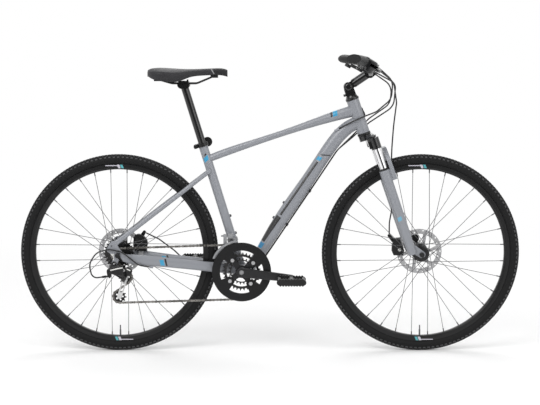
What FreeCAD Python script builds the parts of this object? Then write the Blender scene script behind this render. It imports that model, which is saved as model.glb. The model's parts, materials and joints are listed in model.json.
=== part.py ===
import FreeCAD, Part
import math
import os
import re
from FreeCAD import Matrix, Placement, Rotation, Vector

# A hybrid bicycle with a short travel fork, cable disc brakes and a triple chainset.
# Millimetres. X points forward, Y to the rider's left, Z up. The origin lies on the ground
# midway between the axles. The chain runs on the right side, at negative Y.

doc = FreeCAD.newDocument("hybrid_bicycle")
sheet = doc.addObject("Spreadsheet::Sheet", "sizes")

DIMENSIONS = [
    # Wheels
    ("wheelbase", 1067.0, "axle to axle along the ground"),
    ("tyre_height", 34.0, "tread above the rim edge, 700 x 40c tyre"),
    ("tyre_width", 39.0, "across the casing"),
    ("tread_height", 2.6, "tread above the casing"),
    ("rim_flange_radius", 316.0, "outer edge of the rim"),
    ("rim_depth", 19.4, "outer edge to the nipple seat"),
    ("rim_width", 24.0, "across the brake free walls"),
    ("spoke_diameter", 2.0, "plain gauge"),
    ("flange_radius", 28.5, "hub flange"),
    ("lacing_shift", 2.0, "spoke beside its flange"),
    ("rotor_radius", 80.0, "160 mm brake disc"),
    ("rotor_thickness", 1.8, "brake disc"),
    ("rear_spacing", 135.0, "between the rear dropouts"),
    ("front_spacing", 100.0, "between the fork dropouts"),
    ("rear_axle_diameter", 10.0, "threaded hollow axle"),
    ("front_axle_diameter", 9.0, "threaded hollow axle"),
    # Frame
    ("bottom_bracket_drop", 60.5, "below the line of the axles"),
    ("stay_clearance", 83.8, "rear tyre edge to the bottom bracket along X"),
    ("seat_angle", 72.8, "degrees from the ground"),
    ("head_angle", 71.0, "degrees from the ground"),
    ("seat_tube_length", 471.0, "bottom bracket to the collar top"),
    ("seat_tube_diameter", 32.0, "outside"),
    ("seatpost_diameter", 27.2, "outside"),
    ("head_tube_length", 122.0, "without the cups"),
    ("head_tube_diameter", 44.0, "outside"),
    ("crown_clearance", 118.5, "front tyre edge to the crown race"),
    ("fork_offset", 54.0, "axle ahead of the steering axis"),
    ("shell_width", 68.0, "bottom bracket shell"),
    ("shell_diameter", 41.0, "bottom bracket shell"),
    ("shell_bore", 34.8, "threaded for the cartridge"),
    ("top_tube_drop", 61.0, "below the collar top along the seat tube"),
    ("top_tube_head_height", 84.0, "along the head tube"),
    ("top_tube_arch", 4.5, "rise of the middle"),
    ("top_tube_depth_rear", 24.0, "at the seat tube"),
    ("top_tube_depth_middle", 22.5, "at its slimmest"),
    ("top_tube_depth_front", 42.0, "at the head tube"),
    ("top_tube_width", 22.0, "slim part"),
    ("down_tube_depth", 47.0, "height of the section"),
    ("down_tube_width", 42.0, "width of the section"),
    ("down_tube_bow", 31.0, "bend toward the head tube"),
    ("down_tube_head_height", 40.0, "along the head tube"),
    ("down_tube_drop", 16.0, "lower end ahead of the shell centre"),
    ("chainstay_depth", 35.0, "height of the section"),
    ("chainstay_width", 18.0, "width of the section"),
    ("seatstay_depth", 16.0, "height of the section"),
    ("seatstay_width", 13.0, "width of the section"),
    ("seatstay_drop", 100.0, "below the collar top along the seat tube"),
    ("dropout_thickness", 6.0, "plate"),
    ("eyelet_diameter", 5.0, "carrier and mudguard bolts"),
    # Fork and steering
    ("steerer_diameter", 28.6, "threadless steerer"),
    ("leg_spacing", 124.0, "between the fork legs"),
    ("leg_offset", 23.0, "legs ahead of the steering axis"),
    ("stanchion_diameter", 28.0, "upper fork tubes"),
    ("lower_drop", 25.0, "top of the lowers below the tyre edge"),
    ("fork_travel", 63.0, "suspension stroke"),
    ("lower_leg_diameter", 37.0, "at its top"),
    ("stem_pivot_height", 48.0, "above the head tube"),
    ("stem_length", 90.0, "pivot to bar clamp"),
    ("stem_angle", 34.0, "degrees above level"),
    ("bar_diameter", 22.2, "handlebar at the grips"),
    ("bar_clamp_diameter", 25.4, "handlebar in the stem"),
    ("bar_middle", 58.0, "half of the straight middle"),
    ("bar_slope", 48.5, "rising part, across the bicycle"),
    ("control_room", 87.9, "bend to the grip along the bar"),
    ("bar_rise", 48.0, "end above the clamp"),
    ("bar_sweep", 64.0, "end behind the clamp"),
    ("bar_bend_radius", 60.0, "tube bends"),
    ("grip_length", 134.0, "palm grip"),
    ("grip_diameter", 32.0, "palm grip"),
    ("lever_thickness", 9.0, "brake lever blade"),
    # Saddle and post
    ("seatpost_extension", 214.0, "head above the collar"),
    ("seatpost_insert", 150.0, "post inside the seat tube"),
    ("saddle_length", 278.0, "nose to tail"),
    ("saddle_width", 164.0, "at the tail"),
    ("saddle_stack", 57.1, "top above the post head"),
    ("saddle_tail", 111.0, "behind the post head"),
    ("rail_diameter", 7.0, "saddle rails"),
    ("rail_gauge", 44.0, "between the rails"),
    # Drivetrain
    ("chain_pitch", 12.7, "half inch"),
    ("outer_ring_teeth", 48, "teeth"),
    ("middle_ring_teeth", 32, "teeth"),
    ("inner_ring_teeth", 22, "teeth"),
    ("ring_spacing", 8.0, "between chainrings"),
    ("chain_line", 60.0, "outer ring from the middle plane"),
    ("cog_spacing", 4.8, "between cogs"),
    ("tooth_thickness", 2.0, "rings and cogs"),
    ("guard_radius", 104.0, "chain guard"),
    ("guard_thickness", 2.6, "chain guard"),
    ("bolt_circle", 104.0, "chainring bolts, four arms"),
    ("crank_length", 175.0, "spindle to pedal"),
    ("crank_angle", -6.8, "right arm above level, degrees"),
    ("crank_outer_face", 84.0, "from the middle plane"),
    ("pedal_length", 102.0, "fore and aft"),
    ("pedal_width", 88.0, "across"),
    ("pedal_depth", 26.0, "top to bottom"),
    ("pulley_teeth", 11, "derailleur pulleys"),
    ("cage_length", 72.0, "between the pulleys"),
    ("cable_diameter", 5.0, "cable housing"),
    # Clearances
    ("running_gap", 0.05, "shaft in bearing, per side"),
    ("seat_gap", 0.05, "pressed or bolted parts, per side"),
    ("moving_gap", 0.4, "between moving faces"),
]


class Sizes:
    """The driving dimensions as numbers."""


size = Sizes()
names = set()
for row, (alias, value, note) in enumerate(DIMENSIONS, start=1):
    sheet.set(f"A{row}", alias)
    sheet.set(f"B{row}", str(value))
    sheet.setAlias(f"B{row}", alias)
    sheet.set(f"C{row}", note)
    names.add(alias)
doc.recompute()
for alias, value, note in DIMENSIONS:
    setattr(size, alias, float(sheet.get(alias)))

# Sizes that follow from the driving ones
size.tyre_radius = size.rim_flange_radius + size.tyre_height
size.rim_inner_radius = size.rim_flange_radius - size.rim_depth
size.chainstay_run = size.tyre_radius + size.stay_clearance
size.fork_length = size.tyre_radius + size.crown_clearance
size.lower_top = size.tyre_radius - size.lower_drop

FORWARD = Vector(1, 0, 0)
LEFT = Vector(0, 1, 0)
UP = Vector(0, 0, 1)
nodes = []


def bind(feature, **expressions):
    """Ties properties of a feature to cells of the sheet; plain numbers are set as they are."""
    for prop, expression in expressions.items():
        if isinstance(expression, str):
            text = re.sub(r"[a-z_]+", lambda m: "sizes." + m[0] if m[0] in names else m[0], expression)
            feature.setExpression(prop, text)
        else:
            setattr(feature, prop, expression)
    return feature


def unit(vector):
    """The vector at length one."""
    return vector * (1.0 / vector.Length)


def facing(at, z_axis, x_axis=None):
    """A placement whose local Z looks along z_axis and whose local X leans toward x_axis."""
    z = unit(z_axis)
    if x_axis is None:
        x_axis = FORWARD if abs(z.x) < 0.9 else LEFT
    x = unit(x_axis - z * x_axis.dot(z))
    y = z.cross(x)
    turned = Matrix(x.x, y.x, z.x, 0, x.y, y.y, z.y, 0, x.z, y.z, z.z, 0, 0, 0, 0, 1)
    return Placement(at, Rotation(turned))


def node(feature, label):
    """Marks a document object as one of the pieces handed in."""
    feature.Label = label
    nodes.append(feature)
    return feature


def cylinder(name, radius, length, at, along, centred=False):
    """A round bar from at, or about at, along a direction."""
    bar = bind(doc.addObject("Part::Cylinder", name), Radius=radius, Height=length)
    bar.recompute()
    start = at - unit(along) * (float(bar.Height) / 2) if centred else at
    bar.Placement = facing(start, along)
    return bar


def block(name, length, width, height, at, z_axis, x_axis):
    """A box centred on at."""
    box = bind(doc.addObject("Part::Box", name), Length=length, Width=width, Height=height)
    box.recompute()
    turned = facing(at, z_axis, x_axis)
    half = Vector(float(box.Length), float(box.Width), float(box.Height)) * -0.5
    box.Placement = Placement(at + turned.Rotation.multVec(half), turned.Rotation)
    return box


def fuse(name, *shapes):
    """One solid welded from several."""
    joined = doc.addObject("Part::MultiFuse", name)
    joined.Shapes = list(shapes)
    return joined


def cut(name, base, *tools):
    """A solid with others taken away."""
    taken = doc.addObject("Part::Cut", name)
    taken.Base = base
    taken.Tool = tools[0] if len(tools) == 1 else fuse(name + "_tools", *tools)
    return taken


def common(name, base, tool):
    """What two solids share."""
    shared = doc.addObject("Part::Common", name)
    shared.Base = base
    shared.Tool = tool
    return shared


def group(name, *shapes):
    """Several solids of one piece."""
    gathered = doc.addObject("Part::Compound", name)
    gathered.Links = list(shapes)
    return gathered


def mirrored(name, source):
    """The same shape on the other side of the bicycle."""
    twin = doc.addObject("Part::Mirroring", name)
    twin.Source = source
    twin.Normal = LEFT
    return twin


def solid(name, shape):
    """A form made of swept, lofted or repeated shapes."""
    made = doc.addObject("Part::Feature", name)
    made.Shape = shape
    return made


def outline(*stations):
    """A closed outline; a station is a corner, or a pair: a point on an arc and the arc's end."""
    corners = [s if isinstance(s[0], (int, float)) else s[1] for s in stations]
    edges = []
    for i, station in enumerate(stations):
        start = Vector(*corners[i - 1], 0)
        if start.distanceToPoint(Vector(*corners[i], 0)) < 1e-6:
            continue
        if isinstance(station[0], (int, float)):
            edges.append(Part.LineSegment(start, Vector(*station, 0)))
        else:
            edges.append(Part.Arc(start, Vector(*station[0], 0), Vector(*station[1], 0)))
    return edges


def circle(x, y, radius):
    """A round hole or disc in an outline."""
    return [Part.Circle(Vector(x, y, 0), Vector(0, 0, 1), radius)]


def capsule(start, finish, radius_start, radius_finish):
    """The outline of two discs joined by their outer tangents."""
    ax, ay = start
    bx, by = finish
    heading = math.atan2(by - ay, bx - ax)
    lean = math.acos((radius_start - radius_finish) / math.hypot(bx - ax, by - ay))
    side = [heading + lean, heading - lean]
    start_left = (ax + radius_start * math.cos(side[0]), ay + radius_start * math.sin(side[0]))
    start_right = (ax + radius_start * math.cos(side[1]), ay + radius_start * math.sin(side[1]))
    end_left = (bx + radius_finish * math.cos(side[0]), by + radius_finish * math.sin(side[0]))
    end_right = (bx + radius_finish * math.cos(side[1]), by + radius_finish * math.sin(side[1]))
    back = (ax - radius_start * math.cos(heading), ay - radius_start * math.sin(heading))
    front = (bx + radius_finish * math.cos(heading), by + radius_finish * math.sin(heading))
    return outline(end_left, (front, end_right), start_right, (back, start_left))


def sketch_in(body, role, edges):
    """A sketch on one of the body's own origin planes."""
    sketch = body.newObject("Sketcher::SketchObject", body.Name + "_profile")
    plane = [f for f in body.Origin.OriginFeatures if f.Role == role][0]
    sketch.AttachmentSupport = (plane, "")
    sketch.MapMode = "FlatFace"
    sketch.addGeometry(edges, False)
    return sketch


def plate(name, edges, thickness, at, normal, x_axis, centred=True):
    """A flat piece padded from a sketch."""
    body = doc.addObject("PartDesign::Body", name)
    sketch = sketch_in(body, "XY_Plane", edges)
    pad = body.newObject("PartDesign::Pad", name + "_pad")
    pad.Profile = sketch
    bind(pad, Length=thickness)
    if centred:
        pad.SideType = "Symmetric"
    body.Placement = facing(at, normal, x_axis)
    return body


def spun(name, edges, at, axis):
    """A turned piece: a sketch of radius against height, revolved about its own axis."""
    body = doc.addObject("PartDesign::Body", name)
    sketch = sketch_in(body, "XZ_Plane", edges)
    turned = body.newObject("PartDesign::Revolution", name + "_turn")
    turned.Profile = sketch
    turned.ReferenceAxis = (sketch, ["V_Axis"])
    turned.Angle = 360
    body.Placement = facing(at, axis)
    return body


def tube(name, stations, upright=None):
    """A formed tube lofted through ellipses: centre, depth cell, width cell."""
    centres = [s[0] for s in stations]
    sections = []
    for i, (centre, depth, width) in enumerate(stations):
        ahead = unit(centres[min(i + 1, len(centres) - 1)] - centres[max(i - 1, 0)])
        high = upright if upright else ahead.cross(LEFT)
        section = doc.addObject("Part::Ellipse", name + "_section")
        bind(section, MajorRadius=500.0)
        bind(section, MinorRadius=f"({width}) / 2")
        bind(section, MajorRadius=f"({depth}) / 2")
        section.Placement = facing(centre, ahead, high)
        sections.append(section)
    loft = doc.addObject("Part::Loft", name)
    loft.Sections = sections
    loft.Solid = True
    loft.Ruled = False
    return loft


def rounded_path(points, radius):
    """Straight runs through the points with tangent arcs at the corners."""
    edges = []
    here = points[0]
    for i in range(1, len(points) - 1):
        before = unit(points[i - 1] - points[i])
        after = unit(points[i + 1] - points[i])
        half = math.acos(max(-1.0, min(1.0, before.dot(after)))) / 2
        room = 0.45 * min((points[i] - points[i - 1]).Length, (points[i + 1] - points[i]).Length)
        if half > math.pi / 2 - 0.001:
            continue
        reach = min(20 * radius / math.tan(half), room) if half > 1.5 else min(radius / math.tan(half), room)
        start = points[i] + before * reach
        finish = points[i] + after * reach
        centre_way = unit(before + after)
        centre = points[i] + centre_way * (reach / math.cos(half))
        middle = centre - centre_way * (reach * math.tan(half))
        edges.append(Part.LineSegment(here, start).toShape())
        edges.append(Part.Arc(start, middle, finish).toShape())
        here = finish
    edges.append(Part.LineSegment(here, points[-1]).toShape())
    return Part.Wire(edges)


def swept(points, bend, radius):
    """A round rod along straight runs and tangent arcs."""
    path = rounded_path(points, bend)
    first = path.Edges[0]
    heading = unit(first.Vertexes[-1].Point - first.Vertexes[0].Point)
    ring = Part.Wire(Part.makeCircle(radius, points[0], heading))
    return path.makePipeShell([ring], True, True)


# Places of the main axes

REAR_AXLE = Vector(-size.wheelbase / 2, 0, size.tyre_radius)
FRONT_AXLE = Vector(size.wheelbase / 2, 0, size.tyre_radius)
BRACKET = REAR_AXLE + Vector(size.chainstay_run, 0, -size.bottom_bracket_drop)
seat_lean = math.radians(size.seat_angle)
head_lean = math.radians(size.head_angle)
SEAT_UP = Vector(-math.cos(seat_lean), 0, math.sin(seat_lean))
SEAT_FRONT = Vector(math.sin(seat_lean), 0, math.cos(seat_lean))
STEER_UP = Vector(-math.cos(head_lean), 0, math.sin(head_lean))
STEER_FRONT = Vector(math.sin(head_lean), 0, math.cos(head_lean))
STEER_FOOT = FRONT_AXLE - STEER_FRONT * size.fork_offset
HEAD_BOTTOM = STEER_FOOT + STEER_UP * size.fork_length
HEAD_TOP = HEAD_BOTTOM + STEER_UP * size.head_tube_length
SEAT_TOP = BRACKET + SEAT_UP * size.seat_tube_length
RIGHT = Vector(0, -1, 0)


def between(start, finish, fraction):
    """A point on the line from start to finish."""
    return start + (finish - start) * fraction


def aside(point, y):
    """The same point moved to a given Y."""
    return Vector(point.x, y, point.z)


# Frame

top_rear = BRACKET + SEAT_UP * (size.seat_tube_length - size.top_tube_drop)
top_front = HEAD_BOTTOM + STEER_UP * size.top_tube_head_height
top_rise = unit((top_front - top_rear).cross(LEFT)) * size.top_tube_arch
top_tube = tube("top_tube", [
    (top_rear, "top_tube_depth_rear", "top_tube_width"),
    (between(top_rear, top_front, 0.36) + top_rise, "top_tube_depth_middle", "top_tube_width"),
    (between(top_rear, top_front, 0.60) + top_rise, "top_tube_depth_middle + 1", "top_tube_width + 1"),
    (between(top_rear, top_front, 0.79) + top_rise, "top_tube_depth_front * 0.76", "top_tube_width + 6"),
    (top_front, "top_tube_depth_front", "top_tube_width + 13"),
])
down_front = HEAD_BOTTOM + STEER_UP * size.down_tube_head_height
down_heading = unit(down_front - BRACKET)
down_side = unit(down_heading.cross(LEFT))
down_rear = BRACKET - down_side * size.down_tube_drop
down_bow = down_side * size.down_tube_bow
down_tube = tube("down_tube", [
    (down_rear, "down_tube_depth", "down_tube_depth"),
    (between(down_rear, down_front, 0.29) + down_bow * 0.36, "down_tube_depth", "down_tube_width"),
    (between(down_rear, down_front, 0.58) + down_bow * 0.70, "down_tube_depth", "down_tube_width"),
    (between(down_rear, down_front, 0.81) + down_bow, "down_tube_depth", "down_tube_width"),
    (between(down_rear, down_front, 0.95) + down_bow * 0.62, "down_tube_depth", "down_tube_width - 2"),
    (down_front, "down_tube_depth - 2", "down_tube_width - 4"),
])
head_tube = cylinder("head_tube", "head_tube_diameter / 2", "head_tube_length", HEAD_BOTTOM, STEER_UP)
seat_tube = cylinder("seat_tube", "seat_tube_diameter / 2", "seat_tube_length", BRACKET, SEAT_UP)
shell = cylinder("bracket_shell", "shell_diameter / 2", "shell_width", BRACKET, LEFT, True)

stay_start = BRACKET + Vector(-6, 0, 3)
stay_end = REAR_AXLE + Vector(30, 0, -13)
chainstay = tube("chainstay", [
    (aside(stay_start, 22), "chainstay_depth", "chainstay_width + 2"),
    (aside(between(stay_start, stay_end, 0.25), 36.5), "chainstay_depth", "chainstay_width"),
    (aside(between(stay_start, stay_end, 0.69), 52), "chainstay_depth", "chainstay_width - 1"),
    (aside(between(stay_start, stay_end, 0.94), 65), "chainstay_depth - 1", "chainstay_width - 5"),
    (aside(stay_end, 69), "chainstay_depth - 4", "dropout_thickness + 3"),
])
upper_start = REAR_AXLE + Vector(-14, 0, 36)
upper_end = BRACKET + SEAT_UP * (size.seat_tube_length - size.seatstay_drop)
seatstay = tube("seatstay", [
    (aside(upper_start, 70.5), "seatstay_depth + 3", "dropout_thickness + 2"),
    (aside(between(upper_start, upper_end, 0.14), 68), "seatstay_depth", "seatstay_width - 2"),
    (aside(between(upper_start, upper_end, 0.48), 55), "seatstay_depth", "seatstay_width"),
    (aside(between(upper_start, upper_end, 0.78), 37), "seatstay_depth - 1", "seatstay_width"),
    (aside(upper_end, 14), "seatstay_depth", "seatstay_width"),
])
BRIDGE_CLEARANCE = 34.6
bridge_reach = size.tyre_radius + BRIDGE_CLEARANCE
stay_way = unit(upper_end - upper_start)
stay_back = stay_way.dot(aside(upper_start, 0) - REAR_AXLE)
stay_near = (aside(upper_start, 0) - REAR_AXLE).Length
bridge_along = math.sqrt(bridge_reach ** 2 - stay_near ** 2 + stay_back ** 2) - stay_back
bridge_middle = aside(upper_start + stay_way * bridge_along, 0)
bridge = cylinder("stay_bridge", 6.5, 58.0, bridge_middle, LEFT, True)
tie = cylinder("chainstay_tie", 7.0, 62.0, between(stay_start, stay_end, 0.13), LEFT, True)

# Dropout plates, drawn about the axle in X and Z
plate_edges = outline(
    (-4, 46), ((-16, 50), (-26, 43)), (-37, 26), ((-38, 16), (-30, 9)), (-17, -4), (-14, -15),
    (13, -21), (44, -28), (50, 3), ((28, 4), (16, 12)), ((6, 24), (-4, 46)))
eyelets = [(-21, 32), (-28, 19)]
plate_middle = size.rear_spacing / 2 + size.dropout_thickness / 2
left_plate = plate("dropout_plate", plate_edges, "dropout_thickness",
                   aside(REAR_AXLE, plate_middle), RIGHT, FORWARD)
HANGER = aside(REAR_AXLE, -plate_middle) + Vector(-13, 0, -31)
hanger_plate = plate("hanger_plate", capsule((-2, -8), (-13, -31), 10, 10), "dropout_thickness",
                     aside(REAR_AXLE, -plate_middle), RIGHT, FORWARD)
brake_tab = plate("brake_tab", outline((42, -16), (94, -14), (92, 13), (50, 13)), 6.0,
                  aside(REAR_AXLE, 63), RIGHT, FORWARD)
left_side = [chainstay, seatstay, left_plate]
right_side = [mirrored("right_" + piece.Name, piece) for piece in left_side]
bottle_places = [BRACKET + SEAT_UP * 132, BRACKET + SEAT_UP * 196]
bosses = []
boss_holes = []
bottle_bolts = []


def bottle_bolt(index, axis_point, out, depth):
    """A raised boss with a tapped hole and its button head bolt."""
    surface = axis_point + out * depth
    bosses.append(cylinder(f"boss_{index}", 5.5, 6.0, surface - out * 4, out))
    boss_holes.append(cylinder(f"boss_hole_{index}", 2.5, 14.0, surface - out * 11, out))
    top = surface + out * 2
    edges = outline((0, -9), (2.4, -9), (2.4, 0), (5.0, 0), ((4.4, 2.6), (2.4, 4)), (0, 4))
    bottle_bolts.append(spun(f"bottle_bolt_{index}", edges, top, out))


for index, place in enumerate(bottle_places):
    bottle_bolt(index, place, SEAT_FRONT, size.seat_tube_diameter / 2)
run_start = between(down_rear, down_front, 0.29) + down_bow * 0.36
run_end = between(down_rear, down_front, 0.58) + down_bow * 0.70
run_heading = unit(run_end - run_start)
run_out = unit(run_heading.cross(LEFT))
for index, along in enumerate((24.0, 88.0)):
    bottle_bolt(index + 2, run_start + run_heading * along, run_out, size.down_tube_depth / 2 + 0.6)

rear_slot = block("rear_slot", 30.0, "rear_axle_diameter + 0.4", 200.0,
                  REAR_AXLE + Vector(0.5, 0, -0.87) * 15, LEFT, Vector(0.5, 0, -0.87))
rear_seat = cylinder("rear_slot_end", "rear_axle_diameter / 2 + 0.2", 200.0, REAR_AXLE, LEFT, True)
eyelet_holes = []
for index, (x, z) in enumerate(eyelets):
    eyelet_holes.append(cylinder(f"eyelet_{index}", "eyelet_diameter / 2", 200.0,
                                 REAR_AXLE + Vector(x, 0, z), LEFT, True))
hanger_hole = cylinder("hanger_hole", 5.0, 20.0, HANGER, LEFT, True)
head_bore = cylinder("head_bore", "head_tube_diameter / 2 - 4.5", "head_tube_length + 60",
                     HEAD_BOTTOM - STEER_UP * 30, STEER_UP)
seat_bore = cylinder("seat_bore", "seatpost_diameter / 2 + running_gap", "seatpost_insert + 80",
                     SEAT_TOP - SEAT_UP * (size.seatpost_insert + 70), SEAT_UP)
shell_hole = cylinder("shell_hole", "shell_bore / 2", "shell_width + 40", BRACKET, LEFT, True)
cup_rooms = [cylinder(
    "cup_room", 21.0, 30.0, aside(BRACKET, side * size.shell_width / 2), LEFT * side) for side in (1, -1)]
seat_slit = block("seat_slit", 20.0, 2.4, 50.0, SEAT_TOP - SEAT_FRONT * 16 - SEAT_UP * 15,
                  SEAT_UP, SEAT_FRONT)
# Cable ports and stops welded to the tubes
ENTRY_WAY = unit(Vector(-0.86, 0.16, -0.48))
PORT_ENTRY = between(down_rear, down_front, 0.905) + down_bow * 0.82 + down_side * 20 + RIGHT * 17
PORT_EXIT = aside(between(stay_start, stay_end, 0.5), 45.5) + Vector(-18.2, 9.1, 16.1)
EXIT_WAY = unit(Vector(-18.2, 9.1, 16.1))
STOP_END = aside(between(stay_start, stay_end, 0.80), -59) - UP * (size.chainstay_depth / 2 + 3.4)
STOP_WAY = unit(Vector(-0.985, -0.12, 0.12))
ports = [cylinder("entry_port", 4.5, 18.0, PORT_ENTRY + ENTRY_WAY * 0.3, ENTRY_WAY),
         cylinder("exit_port", 4.5, 24.0, PORT_EXIT - EXIT_WAY * 0.3, EXIT_WAY * -1),
         cylinder("stay_stop", 4.5, 13.0, STOP_END - STOP_WAY * 0.3, STOP_WAY * -1)]
welded = fuse("welded_frame", head_tube, seat_tube, shell, top_tube, down_tube, *left_side, *right_side,
              bridge, tie, hanger_plate, brake_tab, *bosses, *ports)
frame = node(cut("frame_piece", welded, head_bore, seat_bore, shell_hole, rear_slot, rear_seat,
                 hanger_hole, seat_slit, *cup_rooms, *eyelet_holes, *boss_holes), "frame")

# Headset, bottom bracket and seat collar

steerer_bore = size.steerer_diameter / 2 + size.running_gap
cup_press = size.head_tube_diameter / 2 - 4.5 - size.seat_gap
cup_rim = size.head_tube_diameter / 2 + 1.5
lower_cup = spun("lower_cup", outline(
    (steerer_bore, -9), (cup_rim - 1.5, -9), ((cup_rim, -7), (cup_rim, -5)), (cup_rim, 0),
    (cup_press, 0), (cup_press, 12), (steerer_bore, 12)), HEAD_BOTTOM, STEER_UP)
upper_cup = spun("upper_cup", outline(
    (steerer_bore, -12), (cup_press, -12), (cup_press, 0), (cup_rim, 0), (cup_rim, 3.6),
    (steerer_bore, 3.6)), HEAD_TOP, STEER_UP)
node(group("headset", lower_cup, upper_cup), "headset_cups")

half_shell = size.shell_width / 2
cartridge = size.shell_bore / 2 - size.seat_gap
spindle_bore = 8.5 + size.running_gap
node(spun("bracket_cartridge", outline(
    (spindle_bore, -half_shell - 3), (20.0, -half_shell - 3), (20.0, -half_shell),
    (cartridge, -half_shell), (cartridge, half_shell), (20.0, half_shell), (20.0, half_shell + 3),
    (spindle_bore, half_shell + 3)), BRACKET, LEFT), "bottom_bracket")

collar_radius = size.seat_tube_diameter / 2 + size.seat_gap
collar_middle = SEAT_TOP - SEAT_UP * 6.5
collar_ears = block("collar_ears", 17.0, 20.0, 13.0, collar_middle - SEAT_FRONT * 23, SEAT_UP, SEAT_FRONT)
collar_ring = cylinder("collar_ring", collar_radius + 3.6, 13.0, collar_middle, SEAT_UP, True)
collar_hole = cylinder("collar_hole", collar_radius, 40.0, collar_middle, SEAT_UP, True)
collar_gap = block("collar_gap", 30.0, 2.6, 40.0, collar_middle - SEAT_FRONT * 26, SEAT_UP, SEAT_FRONT)
SEAT_SKEWER = collar_middle - SEAT_FRONT * 26
skewer_hole = cylinder("collar_skewer_hole", 2.7, 60.0, SEAT_SKEWER, LEFT, True)
collar = cut("collar", fuse("collar_blank", collar_ring, collar_ears), collar_hole, collar_gap, skewer_hole)
seat_skewer = cylinder("seat_skewer", 2.65, 44.5, SEAT_SKEWER - LEFT * 18, LEFT)
seat_nut = cylinder("seat_nut", 6.5, 7.5, SEAT_SKEWER - LEFT * 10, RIGHT)
seat_bolt = fuse("seat_bolt", seat_skewer, seat_nut)
node(group("seat_collar", collar, seat_bolt), "seat_clamp")


def cam_lever(name, centre, out, reach, toward):
    """A quick release lever: a cam barrel with a curved flat handle."""
    barrel = cylinder(name + "_barrel", 8.0, 15.0, centre, out)
    bore = cylinder(name + "_bore", 2.9, 40.0, centre, out, True)
    handle = plate(name + "_handle", outline(
        (2, -6.5), (reach * 0.5, -8.5), ((reach + 3, 0), (reach * 0.5, 8.5)), (2, 6.5)), 4.0,
        centre + out * 13, out, toward)
    return cut(name, fuse(name + "_blank", barrel, handle), bore)


node(cam_lever("seat_cam", SEAT_SKEWER + LEFT * 10.4, LEFT, 58.0, SEAT_FRONT + UP * 0.1), "seat_qr_lever")

# Fork


def fork_point(up, ahead, y=0.0):
    """A place on the fork: up the steering axis from the axle and ahead of the steering axis."""
    return STEER_FOOT + STEER_UP * up + STEER_FRONT * ahead + LEFT * y


leg_y = size.leg_spacing / 2
leg = size.leg_offset
crown_low = size.lower_top + size.fork_travel + 17
crown_top = size.fork_length - 9.4
steerer = cylinder("steerer", "steerer_diameter / 2", "head_tube_length + 55",
                   fork_point(crown_top - 16, 0), STEER_UP)
race = cylinder("crown_race", "head_tube_diameter / 2 + 0.5", 18.0, fork_point(crown_top, 0), STEER_UP * -1)
crown_bridge = plate("crown_bridge", outline(
    (-leg_y - 14, crown_low + 6), (-leg_y - 14, crown_low + 32),
    ((-leg_y, crown_low + 44), (-24, crown_top - 4)),
    (24, crown_top - 4), ((leg_y, crown_low + 44), (leg_y + 14, crown_low + 32)), (leg_y + 14, crown_low + 6),
    (leg_y - 15, crown_low + 6), ((0, crown_low + 27), (-leg_y + 15, crown_low + 6))), 30.0,
    fork_point(0, leg / 2 + 3), STEER_FRONT, LEFT)
lugs = [cylinder("crown_lug", "stanchion_diameter / 2 + 4", 40.0, fork_point(crown_low, leg, y), STEER_UP)
        for y in (leg_y, -leg_y)]
sockets = [cylinder("crown_socket", "stanchion_diameter / 2 + seat_gap", 34.0,
                    fork_point(crown_low - 0.5, leg, y), STEER_UP) for y in (leg_y, -leg_y)]
crown = cut("crown", fuse("crown_blank", steerer, race, crown_bridge, *lugs), *sockets)
node(crown, "fork_crown")
stanchion_foot = size.lower_top - 130
node(group("stanchion_pair", *[
    cylinder("stanchion", "stanchion_diameter / 2", crown_low + 33 - stanchion_foot,
             fork_point(stanchion_foot, leg, y), STEER_UP) for y in (leg_y, -leg_y)]), "stanchions")

legs = []
for y in (leg_y, -leg_y):
    legs.append(tube("lower_leg", [
        (fork_point(12, leg, y), "lower_leg_diameter - 9", "lower_leg_diameter - 9"),
        (fork_point(90, leg, y), "lower_leg_diameter - 4", "lower_leg_diameter - 4"),
        (fork_point(240, leg, y), "lower_leg_diameter - 2", "lower_leg_diameter - 2"),
        (fork_point(size.lower_top, leg, y), "lower_leg_diameter", "lower_leg_diameter"),
    ], STEER_FRONT))
arch_top = size.lower_top + 74
arch = plate("fork_arch", outline(
    (-leg_y - 10, size.lower_top - 42), (-leg_y - 10, size.lower_top),
    ((-leg_y + 10, arch_top - 24), (-20, arch_top)),
    (20, arch_top), ((leg_y - 10, arch_top - 24), (leg_y + 10, size.lower_top)),
    (leg_y + 10, size.lower_top - 42),
    (leg_y - 8, size.lower_top - 36), (leg_y - 10, size.lower_top),
    ((leg_y - 26, arch_top - 32), (14, arch_top - 19)),
    (-14, arch_top - 19), ((-leg_y + 26, arch_top - 32), (-leg_y + 10, size.lower_top)),
    (-leg_y + 8, size.lower_top - 36)), 14.0, fork_point(0, leg + 27), STEER_FRONT, LEFT)
braces = [block(
    "arch_brace", 34.0, 16.0, 40.0, fork_point(size.lower_top - 22, leg + 17, y), STEER_UP, STEER_FRONT)
          for y in (leg_y, -leg_y)]
half_front = size.front_spacing / 2
fork_ends = [plate("fork_end", capsule((size.fork_offset, 0), (leg, 40), 12.5, 15), 8.0,
                   fork_point(0, 0, side * (half_front + 4)), RIGHT, STEER_FRONT) for side in (1, -1)]
fork_slot = block("fork_slot", "front_axle_diameter + 0.4", 300.0, 40.0,
                  FRONT_AXLE - STEER_UP * 20, STEER_UP, STEER_FRONT)
fork_seat = cylinder("fork_slot_end", "front_axle_diameter / 2 + 0.2", 300.0, FRONT_AXLE, LEFT, True)
front_tab = plate("front_brake_tab", outline((-92, 28), (-46, 28), (-54, 50), (-90, 46)), 8.0,
                  aside(FRONT_AXLE, 52), RIGHT, FORWARD)
leg_bores = [cylinder("leg_bore", "stanchion_diameter / 2 + 0.1", size.lower_top,
                      fork_point(stanchion_foot - size.fork_travel - 6, leg, y),
                      STEER_UP) for y in (leg_y, -leg_y)]
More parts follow.
